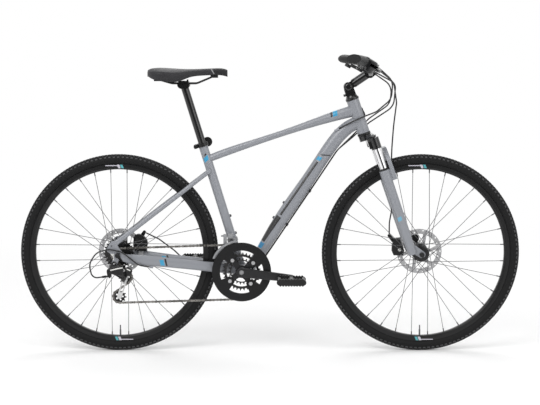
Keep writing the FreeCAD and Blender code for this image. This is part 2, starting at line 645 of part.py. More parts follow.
node(cut("lowers", fuse("lowers_blank", *legs, arch, *braces, *fork_ends, front_tab), fork_slot, fork_seat,
         *leg_bores), "fork_lowers")
node(group("seal_pair", *[spun("fork_seal", outline(
    (size.stanchion_diameter / 2 + 0.1, 0), (size.lower_leg_diameter / 2 - 0.6, 0),
    (size.lower_leg_diameter / 2 - 0.6, 3),
    ((size.stanchion_diameter / 2 + 2.4, 4.2), (size.stanchion_diameter / 2 + 1.2, 7)),
    (size.stanchion_diameter / 2 + 0.1, 7)), fork_point(size.lower_top, leg, y), STEER_UP)
    for y in (leg_y, -leg_y)]), "fork_seals")

# Stem with an adjustable angle

STEM_PIVOT = HEAD_TOP + STEER_UP * size.stem_pivot_height
stem_rise = math.radians(size.stem_angle)
STEM_OUT = Vector(math.cos(stem_rise), 0, math.sin(stem_rise))
STEM_UP = Vector(-math.sin(stem_rise), 0, math.cos(stem_rise))
BAR_CENTRE = STEM_PIVOT + STEM_OUT * size.stem_length
cover = spun("headset_cover", outline(
    (steerer_bore, 4), (cup_rim + 0.6, 4), (cup_rim + 0.6, 7), ((cup_rim - 4, 14), (18.6, 17)),
    (steerer_bore, 17)),
    HEAD_TOP, STEER_UP)
pivot_height = size.stem_pivot_height
base_low = 17.3
base_top = 30.3
base_block = plate("base_block", outline(
    (-17.2, base_low), (17.2, base_low), (17.2, base_top), (16, pivot_height),
    ((0, pivot_height + 16.5), (-16, pivot_height)),
    (-17.2, base_top)), 40.0, HEAD_TOP, RIGHT, STEER_FRONT)
base_fork = block("base_fork", 60.0, 28.6, 60.0, HEAD_TOP + STEER_UP * (base_top + 30), STEER_UP, STEER_FRONT)
base_bore = cylinder("base_bore", "steerer_diameter / 2 + seat_gap", 60.0, HEAD_TOP, STEER_UP)
pin_hole = cylinder("base_pin_hole", 5.05, 80.0, STEM_PIVOT, LEFT, True)
stem_base = cut("stem_clamp", base_block, base_fork, base_bore, pin_hole)
pinch_bolts = [cylinder("pinch_bolt", 4.2, 8.0, HEAD_TOP + STEER_UP * (base_low + 6.5) - STEER_FRONT * 17.2
                        + LEFT * y, STEER_FRONT * -1) for y in (12.0, -12.0)]
pivot_bolt = spun("pivot_bolt", outline(
    (0, -24.5), (5, -24.5), ((11, -23), (13.5, -20.05)), (5, -20.05), (5, 20.05), (13.5, 20.05),
    ((11, 23), (5, 24.5)), (0, 24.5)), STEM_PIVOT, LEFT)
node(group("stem_root", cover, stem_base, pivot_bolt, *pinch_bolts), "stem_base")

boss = cylinder("arm_boss", 16.0, 28.0, STEM_PIVOT, LEFT, True)
neck = block("arm_neck", 30.0, 27.6, 25.0, STEM_PIVOT + STEM_OUT * 15, STEM_UP, STEM_OUT)
extension = cylinder("arm_tube", 15.5, "stem_length - 20", STEM_PIVOT + STEM_OUT * 20, STEM_OUT)
clamp_round = cylinder("bar_clamp", "bar_clamp_diameter / 2 + 6.5", 44.0, BAR_CENTRE, LEFT, True)
clamp_split = block("bar_clamp_split", 60.0, 80.0, 80.0, BAR_CENTRE + STEM_OUT * 31, STEM_UP, STEM_OUT)
bar_hole = cylinder("bar_hole", "bar_clamp_diameter / 2 + seat_gap", 100.0, BAR_CENTRE, LEFT, True)
arm_hole = cylinder("arm_pin_hole", "5 + running_gap * 2", 100.0, STEM_PIVOT, LEFT, True)
arm = cut("arm", fuse("arm_blank", boss, neck, extension, clamp_round), clamp_split, bar_hole, arm_hole)
cap_side = block("cap_side", 60.0, 80.0, 80.0, BAR_CENTRE + STEM_OUT * 32.4, STEM_UP, STEM_OUT)
cap_ring = cut(
    "cap_ring", cylinder("cap_round", "bar_clamp_diameter / 2 + 6.5", 44.0, BAR_CENTRE, LEFT, True),
    bar_hole)
cap_heads = [cylinder("cap_bolt", 4.0, 12.0, BAR_CENTRE + STEM_OUT * 9 + STEM_UP * up + LEFT * y, STEM_OUT)
             for up in (15.0, -15.0) for y in (15.0, -15.0)]
face_cap = fuse("face_cap", common("cap_half", cap_ring, cap_side), *cap_heads)
node(group("stem_extension", arm, face_cap), "stem_arm")

# Handlebar, grips and controls; the left side is drawn and the right side mirrors it

bar_run = size.control_room + size.grip_length - 3
run_across = math.sqrt(bar_run ** 2 - (0.86 * size.bar_sweep) ** 2 - (0.25 * size.bar_rise) ** 2)
bar_knee_y = size.bar_middle + size.bar_slope
bar_points = [Vector(0, 0, 0), Vector(0, size.bar_middle, 0),
              Vector(-0.14 * size.bar_sweep, bar_knee_y, 0.75 * size.bar_rise),
              Vector(-size.bar_sweep, bar_knee_y + run_across, size.bar_rise)]
left_points = [BAR_CENTRE + p for p in bar_points]
right_points = [BAR_CENTRE + Vector(p.x, -p.y, p.z) for p in bar_points[:0:-1]]
bar_tube = solid("bar_tube", swept(right_points + left_points, size.bar_bend_radius, size.bar_diameter / 2))
middle_radius = size.bar_clamp_diameter / 2
bar_sleeve = spun("bar_sleeve", outline(
    (0, -38), (size.bar_diameter / 2 - 0.5, -38), (middle_radius, -32), (middle_radius, 32),
    (size.bar_diameter / 2 - 0.5, 38), (0, 38)), BAR_CENTRE, LEFT)
node(fuse("bar", bar_tube, bar_sleeve), "handlebar")
BAR_KNEE = left_points[2]
BAR_END = left_points[3]
BAR_OUT = unit(BAR_END - BAR_KNEE)
BAR_FRONT = unit(FORWARD - BAR_OUT * FORWARD.dot(BAR_OUT))
BAR_UP = BAR_FRONT.cross(BAR_OUT)
grip_start = BAR_END - BAR_OUT * (size.grip_length - 3)


def grip_place(along, back):
    """A centre on the grip, along the bar and behind it."""
    return grip_start + BAR_OUT * along - BAR_FRONT * back


grip_body = tube("grip_body", [
    (grip_place(0, 0), "grip_diameter + 0.4", "grip_diameter"),
    (grip_place(size.grip_length * 0.40, 1.5), "grip_diameter + 3", "grip_diameter"),
    (grip_place(size.grip_length * 0.78, 7.5), "grip_diameter + 16", "grip_diameter"),
    (grip_place(size.grip_length, 8.5), "grip_diameter + 17", "grip_diameter - 1"),
], BAR_FRONT)
grip_bore = cylinder("grip_bore", "bar_diameter / 2 + seat_gap", "grip_length", BAR_END + BAR_OUT * 0.2,
                     BAR_OUT * -1)
left_grip = cut("left_grip", grip_body, grip_bore)
node(group("grip_pair", left_grip, mirrored("right_grip", left_grip)), "grips")

POD = grip_start - BAR_OUT * 37.9
reach_dip = math.radians(32)
REACH = BAR_FRONT * math.cos(reach_dip) - BAR_UP * math.sin(reach_dip)
UNDER = BAR_OUT.cross(REACH)


def pod_point(out, reach, under):
    """A place on the left control: along the bar, toward the lever and below it."""
    return POD + BAR_OUT * out + REACH * reach + UNDER * under


clamp_band = cylinder("pod_band", "bar_diameter / 2 + 5.5", 26.0, POD, BAR_OUT, True)
pod_body = plate("pod_body", outline((-24, 4), (20, 4), (24, 26), ((16, 37), (2, 42)), (-18, 42),
                                     ((-26, 38), (-28, 28))), 24.0, POD, UNDER, BAR_OUT)
lever_room = plate(
    "lever_room", outline((-23, 21), (60, 21), (60, 80), (-23, 80)), size.lever_thickness + 1.0,
    POD, UNDER, BAR_OUT)
shift_house = spun("shift_house", outline(
    (0, -15), (14, -15), ((19.5, -13), (21, -8)), (21, 15), (0, 15)), pod_point(-2, 17, -1), UNDER)
shift_pot = spun("shift_pot", outline(
    (0, 10), (19, 10), (20, 24), ((17, 27.5), (0, 28))), pod_point(-4, 16, 0), UNDER)
bar_room = cylinder("pod_bar_room", "bar_diameter / 2 + seat_gap", 200.0, POD, BAR_OUT, True)
brake_barrel = cylinder("brake_barrel", 4.5, 16.0, pod_point(-26, 30, 0), BAR_OUT * -1)
shift_barrel = cylinder("shift_barrel", 4.5, 18.0, pod_point(-20, 22, 20), BAR_OUT * -1)
LEVER_PIVOT = pod_point(-8, 31, 0)
lever_pin = cylinder("lever_pin", 2.5, 22.0, LEVER_PIVOT, UNDER, True)
thumb_room = plate("thumb_room", outline((-40, -60), (70, -60), (70, 45), (-40, 45)), 8.0,
                   pod_point(0, 0, 32.2), UNDER, BAR_OUT)
left_pod_body = cut(
    "left_pod_body", fuse("pod_blank", clamp_band, pod_body, shift_house, shift_pot, brake_barrel,
                                          shift_barrel), lever_room, bar_room, thumb_room)
THUMB_PIVOT = pod_point(-4, 16, 31)
thumb_pin = cylinder("thumb_pin", 3.0, 10.0, pod_point(-4, 16, 24), UNDER)
left_pod = fuse("left_pod", left_pod_body, lever_pin, thumb_pin)
node(group("pod_pair", left_pod, mirrored("right_pod", left_pod)), "control_pods")

lever_blade = plate("lever_blade", outline(
    (-8, 24.5), ((-14.5, 31), (-8, 38)), (4, 44), ((30, 56), (66, 60)), (104, 62),
    ((113, 67), (104, 73)), ((52, 71), (24, 63)), ((-2, 52), (-16, 42)), ((-18, 28), (-8, 24.5))),
    "lever_thickness", POD, UNDER, BAR_OUT)
lever_bore = cylinder("lever_bore", "2.5 + running_gap", 60.0, LEVER_PIVOT, UNDER, True)
left_lever = cut("left_lever", lever_blade, lever_bore)
node(left_lever, "left_brake_lever")
node(mirrored("right_lever", left_lever), "right_brake_lever")

thumb_plate = plate("thumb_plate", outline(
    (-4, 24), ((-12, 16), (-4, 8)), (6, -4), ((10, -16), (22, -27)), ((36, -34), (42, -24)),
    ((30, -12), (18, -2)), ((8, 10), (4, 18)), ((1, 23), (-4, 24))), 4.0, pod_point(0, 0, 31), UNDER, BAR_OUT)
thumb_pad = plate("thumb_pad", outline((20, -25), ((36, -34), (42, -24)), ((32, -15), (26, -13))), 11.0,
                  pod_point(0, 0, 34.5), UNDER, BAR_OUT)
thumb_bore = cylinder("thumb_bore", "3 + running_gap", 60.0, THUMB_PIVOT, UNDER, True)
left_thumb = cut("left_thumb", fuse("thumb_blank", thumb_plate, thumb_pad), thumb_bore)
node(left_thumb, "left_thumb_lever")
node(mirrored("right_thumb", left_thumb), "right_thumb_lever")

# Seatpost and saddle

POST_HEAD = SEAT_TOP + SEAT_UP * size.seatpost_extension
rail_z = POST_HEAD.z + 5
SADDLE_TOP = POST_HEAD.z + size.saddle_stack
post_tube = cylinder("post_tube", "seatpost_diameter / 2", "seatpost_extension + seatpost_insert - 6",
                     SEAT_TOP - SEAT_UP * size.seatpost_insert, SEAT_UP)
cradle_middle = Vector(POST_HEAD.x, 0, rail_z)
gauge = size.rail_gauge / 2
rail_r = size.rail_diameter / 2
cradle = plate(
    "post_cradle", outline(
        (-22, -2), ((-16, -16), (0, -17)), ((16, -16), (22, -2)), (22, -0.2), (-22, -0.2)),
    size.rail_gauge + 12, cradle_middle, RIGHT, FORWARD)
yoke = plate("post_yoke", outline((-21, 0.2), (21, 0.2), (18, 7), ((0, 9), (-18, 7))), size.rail_gauge + 12,
             cradle_middle, RIGHT, FORWARD)
rail_grooves = [
    cylinder("rail_groove", "rail_diameter / 2 + seat_gap", 100.0, aside(cradle_middle, y), FORWARD, True)
    for y in (gauge, -gauge)]
post_bore = cylinder("post_bore", "seatpost_diameter / 2 - 2.2", "seatpost_insert + 40",
                     SEAT_TOP - SEAT_UP * (size.seatpost_insert + 1), SEAT_UP)
post_blank = cut("post_blank", fuse("post_joined", post_tube, cradle), post_bore, *rail_grooves)
clear_top = block("cradle_clear", 60.0, 100.0, 30.0, cradle_middle + UP * 14.8, UP, FORWARD)
post = cut("post", post_blank, clear_top)
yoke_cut = cut("yoke", yoke, *rail_grooves)
head_bolts = [cylinder("head_bolt", 3.4, 6.0, cradle_middle + Vector(x, 0, 7.5), UP) for x in (13.0, -13.0)]
node(group("seatpost_pieces", post, fuse("yoke_bolted", yoke_cut, *head_bolts)), "seatpost")

SADDLE_TAIL = POST_HEAD.x - size.saddle_tail - 14
saddle_scale = size.saddle_length / 278.0
wide = size.saddle_width / 164.0
# Saddle sections from tail to nose: distance from the tail, half width, top, skirt edge below the top
saddle_form = [(0, 34, -7, 22), (10, 60, -2, 30), (34, 80, 1, 42), (70, 82, 0, 46), (104, 66, -2, 44),
               (140, 41, -3, 30), (184, 26, -2, 23), (232, 21, 0, 23), (264, 19, -1, 24), (278, 11, -6, 23)]


ARCH = 0.45


def saddle_section(along, half, top, edge):
    """One closed cross section of the saddle: a crowned top over drawn in sides and a hollow below."""
    x = SADDLE_TAIL + along * saddle_scale
    top_z = SADDLE_TOP + top
    low = top_z - edge
    flank = half * wide
    crown_z = top_z - 0.30 * edge
    points = [Vector(x, -flank * 0.90, low), Vector(x, -flank, crown_z), Vector(x, 0, top_z),
              Vector(x, flank, crown_z), Vector(x, flank * 0.90, low)]
    bulge = flank * 0.01 + 0.3
    side_z = (low + crown_z) / 2
    edges = [Part.Arc(points[0], Vector(x, -flank - bulge, side_z), points[1]).toShape(),
             Part.Arc(points[1], Vector(x, -flank * 0.62, top_z - 0.055 * edge), points[2]).toShape(),
             Part.Arc(points[2], Vector(x, flank * 0.62, top_z - 0.055 * edge), points[3]).toShape(),
             Part.Arc(points[3], Vector(x, flank + bulge, side_z), points[4]).toShape(),
             Part.Arc(points[4], Vector(x, 0, low + ARCH * edge), points[0]).toShape()]
    return Part.Wire(edges)


def hollow_z(half, top, edge, y):
    """Height of the saddle's hollow underside at a distance from the middle."""
    flank = half * wide * 0.90
    return SADDLE_TOP + top - edge + ARCH * edge * (1 - min(1.0, abs(y) / flank) ** 2)


def shell_section(along, half, top, edge):
    """One cross section of the shell, just under the cover's hollow."""
    x = SADDLE_TAIL + along * saddle_scale
    reach = half * wide * 0.72
    middle = hollow_z(half, top, edge, 0) - 0.6
    rim = hollow_z(half, top, edge, reach) - 1.2
    edges = [Part.Arc(Vector(x, -reach, rim), Vector(x, 0, middle), Vector(x, reach, rim)).toShape(),
             Part.LineSegment(Vector(x, reach, rim), Vector(x, reach, rim - 3)).toShape(),
             Part.Arc(Vector(x, reach, rim - 3), Vector(x, 0, middle - 3),
                      Vector(x, -reach, rim - 3)).toShape(),
             Part.LineSegment(Vector(x, -reach, rim - 3), Vector(x, -reach, rim)).toShape()]
    return Part.Wire(edges)


node(solid("saddle_top", Part.makeLoft([saddle_section(*s) for s in saddle_form], True, False)),
     "saddle_cover")
saddle_shell = solid("saddle_shell", Part.makeLoft([shell_section(*s) for s in saddle_form], True, False))
nose_form = saddle_form[7]
tail_form = saddle_form[2]
nose_at = Vector(SADDLE_TAIL + nose_form[0] * saddle_scale, 0, hollow_z(*nose_form[1:], 14) - 8)
tail_at = Vector(SADDLE_TAIL + tail_form[0] * saddle_scale, 0, hollow_z(*tail_form[1:], gauge + 20) - 8.5)
sockets_under = [block("nose_socket", 26.0, 28.0, 13.0, nose_at, UP, FORWARD)]
rails = []
for side in (1, -1):
    sockets_under.append(
        block("tail_socket", 22.0, 16.0, 14.0, aside(tail_at, side * (gauge + 12)), UP, FORWARD))
    rail_points = [Vector(nose_at.x, side * 9, nose_at.z), Vector(POST_HEAD.x + 46, side * gauge, rail_z),
                   Vector(POST_HEAD.x - 40, side * gauge, rail_z), aside(tail_at, side * (gauge + 12))]
    rails.append(solid("saddle_rail", swept(rail_points, 30.0, rail_r)))
node(fuse("saddle_frame", saddle_shell, *sockets_under, *rails), "saddle_base")

# Wheels

bead = size.rim_flange_radius - 6.6
side_half = size.tyre_width / 2
side_radius = (size.rim_flange_radius + size.tyre_radius) / 2 - 4.5
shoulder = size.tyre_radius - size.tread_height - 6.4


def tyre(name, axle):
    """A tyre casing open toward the rim, with a raised tread band."""
    flange = size.rim_flange_radius + 1.2
    edges = outline(
        (bead, 8.6), (flange, 9.2), ((side_radius, side_half), (shoulder, side_half - 4)),
        (shoulder + size.tread_height, side_half - 3.2),
        ((size.tyre_radius, 0), (shoulder + size.tread_height, 3.2 - side_half)),
        (shoulder, 4 - side_half), ((side_radius, -side_half), (flange, -9.2)), (bead, -8.6), (bead, -5.5),
        (flange, -6.6), ((side_radius, 2.6 - side_half), (shoulder - 1.5, 7.5 - side_half)),
        ((size.tyre_radius - size.tread_height - 2.6, 0), (shoulder - 1.5, side_half - 7.5)),
        ((side_radius, side_half - 2.6), (flange, 6.6)), (bead, 5.5))
    return spun(name, edges, axle, LEFT)


def rim(name, axle):
    """A box section rim with a well between the bead seats."""
    out = size.rim_flange_radius
    low = size.rim_inner_radius
    half = size.rim_width / 2
    seat = bead - 0.2
    edges = outline(
        (out, half), (out, half - 1.8), (seat, half - 1.8), (seat, 5), (seat - 3, 4), (seat - 3, -4),
        (seat, -5),
        (seat, 1.8 - half), (out, 1.8 - half), (out, -half), (low + 8, -half),
        ((low + 2.4, -half + 1.8), (low, -half + 5)),
        (low, half - 5), ((low + 2.4, half - 1.8), (low + 8, half)))
    return spun(name, edges, axle, LEFT)


def polar(axle, radius, degrees, y):
    """A place on a wheel seen from the right side."""
    turn = math.radians(degrees)
    return Vector(axle.x + radius * math.cos(turn), y, axle.z + radius * math.sin(turn))


SPOKES_PER_SIDE = 16
HOLE_STEP = 360.0 / SPOKES_PER_SIDE
CROSS_TURN = 3 * HOLE_STEP


def spokes(name, axle, left_flange, right_flange):
    """Thirty two spokes crossed three times, each with its nipple, and the tyre valve."""
    wires = []
    radius = size.spoke_diameter / 2
    foot = size.flange_radius + 1.5
    top = size.rim_inner_radius - 0.4
    for flange, shift, stagger in ((left_flange, HOLE_STEP / 4, 1.6), (right_flange, HOLE_STEP * 0.75, -1.6)):
        for index in range(SPOKES_PER_SIDE):
            trailing = index % 2 == 0
            hub_angle = shift + index * HOLE_STEP
            rim_angle = hub_angle + (CROSS_TURN if trailing else -CROSS_TURN)
            beside = size.lacing_shift if trailing else -size.lacing_shift
            start = polar(axle, foot, hub_angle, flange + beside)
            finish = polar(axle, top, rim_angle, stagger)
            heading = unit(finish - start)
            wire = Part.makeCylinder(radius, (finish - start).Length, start, heading)
            nipple = Part.makeCylinder(radius + 1.0, 12.0, finish - heading * 12, heading)
            wires.append(wire.fuse(nipple))
    stem = Part.makeCylinder(3.0, 20.0, polar(axle, top, 270, 0), UP)
    tip = Part.makeCylinder(2.2, 36.0, polar(axle, top, 270, 0), UP)
    return solid(name, Part.makeCompound(wires + [stem.fuse(tip)]))


def rotor(name, axle, outer_face):
    """A brake disc: drilled band, six slanted arms, six bolt heads."""
    edges = circle(0, 0, size.rotor_radius) + circle(0, 0, 17.5)
    for index in range(6):
        corners = []
        for radius, half, slant in ((31.0, 20.0, 0.0), (0.78 * size.rotor_radius, 24.0, 12.0)):
            for side in (-1, 0, 1):
                turn = math.radians(60 * index + 30 + slant + side * half)
                corners.append((radius * math.cos(turn), radius * math.sin(turn)))
        edges += outline(
            corners[0], (corners[1], corners[2]), corners[5], (corners[4], corners[3]), corners[0])
    for index in range(18):
        turn = math.radians(20 * index + (5 if index % 2 else 0))
        radius = (0.86 if index % 2 else 0.93) * size.rotor_radius
        edges += circle(radius * math.cos(turn), radius * math.sin(turn), 2.6)
    middle = aside(axle, outer_face - size.rotor_thickness / 2)
    disc = plate(name + "_disc", edges, "rotor_thickness", middle, RIGHT, FORWARD)
    heads = [cylinder(
        name + "_bolt", 3.8, 2.4, polar(axle, 22.0, 60 * i, outer_face - 0.4), LEFT) for i in range(6)]
    return fuse(name, disc, *heads)


front_bore = size.front_axle_diameter / 2 + size.running_gap
rear_bore = size.rear_axle_diameter / 2 + size.running_gap
front_face = half_front - 10.5
rear_half = size.rear_spacing / 2
rear_face = rear_half - 15.3
flange_r = size.flange_radius
FRONT_LEFT = 20.0
FRONT_RIGHT = -34.0
REAR_LEFT = 33.0
REAR_RIGHT = -20.0
front_seat = front_face - size.rotor_thickness
rear_seat_y = rear_face - size.rotor_thickness
front_hub = spun("front_hub_shell", outline(
    (front_bore, 5.6 - half_front), (11, 5.6 - half_front), ((13, -41), (15, -38)), (flange_r - 3, -36.5),
    (flange_r, -35.5), (flange_r, -32.5), (flange_r - 4, -31.5), ((15, -27), (13.5, -14)), (13.5, 4),
    ((15, 14), (flange_r - 4, 17.5)), (flange_r, 18.5), (flange_r, 21.5), (flange_r - 3, 22.5),
    ((19, 24), (18, 28)),
    (24.5, 31), (27, 32), (27, front_seat), (16.5, front_seat), (16.5, front_face + 1),
    (11, half_front - 5.6), (front_bore, half_front - 5.6)),
    FRONT_AXLE, LEFT)
rear_hub = spun("rear_hub_shell", outline(
    (rear_bore, -23), (15, -23), (17, -22), (flange_r, -21.5), (flange_r, -18.5), (flange_r - 4, -17.5),
    ((18, -13), (16.5, -4)), (16.5, 18), ((18, 27), (flange_r - 4, 30.5)), (flange_r, 31.5), (flange_r, 34.5),
    (flange_r - 3, 35.5), ((20, 37), (19, 41)), (24.5, 44), (27, 45), (27, rear_seat_y), (16.5, rear_seat_y),
    (16.5, rear_face + 1), (12, rear_half - 11.6), (rear_bore, rear_half - 11.6)), REAR_AXLE, LEFT)
for side, axle, hub, left_flange, right_flange, face in (
    ("front", FRONT_AXLE, front_hub, FRONT_LEFT, FRONT_RIGHT, front_face),
    ("rear", REAR_AXLE, rear_hub, REAR_LEFT, REAR_RIGHT, rear_face)):
    node(tyre(side + "_tyre_ring", axle), side + "_tyre")
    node(rim(side + "_rim_ring", axle), side + "_rim")
    node(spokes(side + "_spoke_set", axle, left_flange, right_flange), side + "_spokes")
    node(hub, side + "_hub")
    node(rotor(side + "_disc", axle, face), side + "_rotor")


def skewer(name, axle, radius, half, thickness, left_nut, right_nut):
    """A hollow axle with its lock nuts, the clamping nut on the right and the rod for the cam on the left."""
    outer = half + thickness + 0.1
    stub = radius - 0.1
    edges = outline(
        (0, -outer - 13), (4, -outer - 13), ((8, -outer - 11.5), (9, -outer - 8)), (9, -outer),
        (stub, -outer),
        (stub, -half), (8.5, -half), (8.5, -right_nut), (radius, -right_nut), (radius, left_nut),
        (8.5, left_nut),
        (8.5, half), (stub, half), (stub, outer), (9, outer), (9, outer + 6), (2.6, outer + 6),
        (2.6, outer + 22.5),
        (0, outer + 22.5))
    return spun(name, edges, axle, LEFT)


node(skewer("front_skewer", FRONT_AXLE, size.front_axle_diameter / 2, half_front, 8.0,
            half_front - 5.2, half_front - 5.2), "front_axle")
node(skewer("rear_skewer", REAR_AXLE, size.rear_axle_diameter / 2, rear_half, size.dropout_thickness,
            rear_half - 11.2, rear_half - 3.0), "rear_axle")
node(cam_lever("front_cam", FRONT_AXLE + LEFT * (half_front + 14.5), LEFT, 58.0, STEER_UP), "front_qr_lever")
node(cam_lever("rear_cam", REAR_AXLE + LEFT * (rear_half + size.dropout_thickness + 6.5), LEFT, 58.0,
               Vector(-0.99, 0, -0.14)), "rear_qr_lever")

# Cable disc brakes, drawn in X and Z from the axle


def caliper(name, axle, face, edges, inner, outer, pot):
    """A caliper body straddling the disc, with pads, a pad adjuster and the arm's round housing."""
    middle = face - size.rotor_thickness / 2
    body = plate(name + "_body", edges, outer - inner, aside(axle, (inner + outer) / 2), RIGHT, FORWARD)
    slot = cylinder(
        name + "_slot", "rotor_radius + 2", "rotor_thickness + 2.4", aside(axle, middle), LEFT, True)
    place = axle + Vector(pot[0], 0, pot[1])
    housing = cylinder(name + "_housing", 15.0, 9.0, aside(place, outer - 1), LEFT)
    spindle = cylinder(name + "_spindle", 4.0, 15.0, aside(place, outer), LEFT)
    adjuster = spun(name + "_adjuster", outline((0, -5), (9, -5), ((10.5, -4.5), (11, -3)), (11, 2), (0, 2)),
                    aside(place, inner), LEFT)
    pads = []
    for side in (1, -1):
        pads.append(cylinder(
            name + "_pad", 10.0, 0.9, aside(place, middle + side * (size.rotor_thickness / 2 + 0.3)),
            LEFT * side))
    shell_piece = cut(name + "_shell", fuse(name + "_blank", body, housing, spindle, adjuster), slot)
    return group(name, shell_piece, *pads)


def caliper_arm(name, pivot, end, y):
    """The arm pulled by the cable, with its cable clamp."""
    bar = plate(name + "_bar", capsule((0, 0), end, 9.0, 6.0), 4.5, aside(pivot, y), RIGHT, FORWARD)
    boss = cylinder(name + "_boss", 9.0, 7.0, aside(pivot, y - 2.25), LEFT)
    pinch = cylinder(name + "_pinch", 4.2, 6.5, aside(pivot + Vector(end[0], 0, end[1]), y - 2.25), LEFT)
    bore = cylinder(name + "_bore", "4 + running_gap", 60.0, aside(pivot, y), LEFT, True)
    return cut(name, fuse(name + "_blank", bar, boss, pinch), bore)


rear_pot = (62, 33)
front_pot = (-71, 12)
node(caliper("rear_caliper", REAR_AXLE, rear_face, outline(
    (49, 0), (90, 0), (94, 16), ((93, 40), (76, 56)), ((58, 60), (46, 47)), (44, 20)), 40.0, 60.0, rear_pot),
    "rear_brake_caliper")
node(caliper("front_caliper", FRONT_AXLE, front_face, outline(
    (-92, -14), (-58, -14), (-54, 4), (-63, 26), (-70, 44), ((-80, 48), (-90, 44)), (-98, 24), (-99, 2)),
    27.5, 48.0, front_pot),
    "front_brake_caliper")
rear_arm_pivot = REAR_AXLE + Vector(rear_pot[0], 0, rear_pot[1])
front_arm_pivot = FRONT_AXLE + Vector(front_pot[0], 0, front_pot[1])
REAR_ARM_END = (20, 32)
FRONT_ARM_END = (-35, 41)
node(caliper_arm("rear_arm", rear_arm_pivot, REAR_ARM_END, 70.8), "rear_caliper_arm")
node(caliper_arm("front_arm", front_arm_pivot, FRONT_ARM_END, 58.8), "front_caliper_arm")

# Chain path: the pins are walked round the outer ring, the smallest cog and the two pulleys

COG_TEETH = [11, 13, 15, 17, 19, 21, 23, 26]
PITCH = size.chain_pitch
TURN = 2 * math.pi


def pitch_radius(teeth):
    """Radius of the circle through the chain pins."""
    return PITCH / (2 * math.sin(math.pi / teeth))


CAGE_PIVOT = (REAR_AXLE.x + 38, REAR_AXLE.z - 64)
GUIDE_ARM = (-11.0, -16.0)
TENSION_ARM = (GUIDE_ARM[0] - 0.224 * size.cage_length, GUIDE_ARM[1] - 0.9746 * size.cage_length)


def swung(arm, angle):
    """A place on the cage after it has swung about its pivot."""
    c = math.cos(angle)
    s = math.sin(angle)
    return (CAGE_PIVOT[0] + arm[0] * c - arm[1] * s, CAGE_PIVOT[1] + arm[0] * s + arm[1] * c)


def run_angle(wheel_a, wheel_b):
    """Heading of the straight run that leaves one wheel and meets the next."""
    (ax, az), ra = wheel_a[0], wheel_a[1] * wheel_a[3]
    (bx, bz), rb = wheel_b[0], wheel_b[1] * wheel_b[3]
    return math.atan2(bz - az, bx - ax) + math.asin((ra - rb) / math.hypot(bx - ax, bz - az))


def on_circle(wheel, angle):
    """A pin on a wheel's pitch circle."""
    return (wheel[0][0] + wheel[1] * math.cos(angle), wheel[0][1] + wheel[1] * math.sin(angle))


def meet(pin, reach, wheel, near):
    """The pin on a wheel at a given distance from the last pin, closest to where the run touches."""
    (cx, cz), radius = wheel[0], wheel[1]
    span = math.hypot(cx - pin[0], cz - pin[1])
    bearing = math.atan2(pin[1] - cz, pin[0] - cx)
    cosine = (radius ** 2 + span ** 2 - reach ** 2) / (2 * radius * span)
    if abs(cosine) > 1:
        return None
    opening = math.acos(cosine)
    options = [bearing + opening, bearing - opening]
    return min(options, key=lambda a: abs(math.remainder(a - near, TURN)))


def walk_chain(angle):
    """Pins of the whole loop for one cage angle, and how far the loop is from closing."""
    wheels = [((BRACKET.x, BRACKET.z), pitch_radius(size.outer_ring_teeth), size.outer_ring_teeth, 1),
              ((REAR_AXLE.x, REAR_AXLE.z), pitch_radius(COG_TEETH[0]), COG_TEETH[0], 1),
              (swung(GUIDE_ARM, angle), pitch_radius(size.pulley_teeth), size.pulley_teeth, -1),
              (swung(TENSION_ARM, angle), pitch_radius(size.pulley_teeth), size.pulley_teeth, 1)]
    headings = [run_angle(wheels[i], wheels[(i + 1) % 4]) for i in range(4)]
    leave = headings[0] - math.pi / 2
    pins = [on_circle(wheels[0], leave)]
    phases = [leave]
    shape = []
    for i in (1, 2, 3):
        wheel = wheels[i]
        side = wheel[3]
        touch = headings[i - 1] - side * math.pi / 2
        last = pins[-1]
        contact = on_circle(wheel, touch)
        count = round(math.hypot(contact[0] - last[0], contact[1] - last[1]) / PITCH)
        entry = meet(last, count * PITCH, wheel, touch)
        if entry is None:
            return None
        first = on_circle(wheel, entry)
        for k in range(1, count + 1):
            pins.append((last[0] + (first[0] - last[0]) * k / count,
                         last[1] + (first[1] - last[1]) * k / count))
        away = headings[i] - side * math.pi / 2
        steps = round((((away - entry) * side) % TURN) / (TURN / wheel[2]))
        for k in range(1, steps + 1):
            pins.append(on_circle(wheel, entry + side * k * TURN / wheel[2]))
        phases.append(entry)
        shape += [count, steps]
    ring = wheels[0]
    arrive = headings[3] - math.pi / 2
    held = round(((leave - arrive) % TURN) / (TURN / ring[2]))
    last = pins[-1]
    first = on_circle(ring, leave - held * TURN / ring[2])
    span = math.hypot(first[0] - last[0], first[1] - last[1])
    count = round(span / PITCH)
    for k in range(1, count + 1):
        pins.append((last[0] + (first[0] - last[0]) * k / count, last[1] + (first[1] - last[1]) * k / count))
    for k in range(held - 1, 0, -1):
        pins.append(on_circle(ring, leave - k * TURN / ring[2]))
    shape += [count, held]
    return span - count * PITCH, tuple(shape), pins, phases


def close_chain():
    """The cage angle nearest to rest at which an even number of links closes the loop."""
    step = math.radians(0.1)
    found = []
    before = None
    for k in range(-260, 261):
        here = walk_chain(k * step)
        if here and before and here[1] == before[1] and here[0] * before[0] <= 0 and len(here[2]) % 2 == 0:
            low, high = (k - 1) * step, k * step
            sign = before[0]
            for halving in range(40):
                middle = (low + high) / 2
                if walk_chain(middle)[0] * sign > 0:
                    low = middle
                else:
                    high = middle
            found.append((low + high) / 2)
        before = here
    return min(found, key=abs)


CAGE_ANGLE = close_chain()
chain_pins, phases = walk_chain(CAGE_ANGLE)[2:]
GUIDE = swung(GUIDE_ARM, CAGE_ANGLE)
TENSION = swung(TENSION_ARM, CAGE_ANGLE)


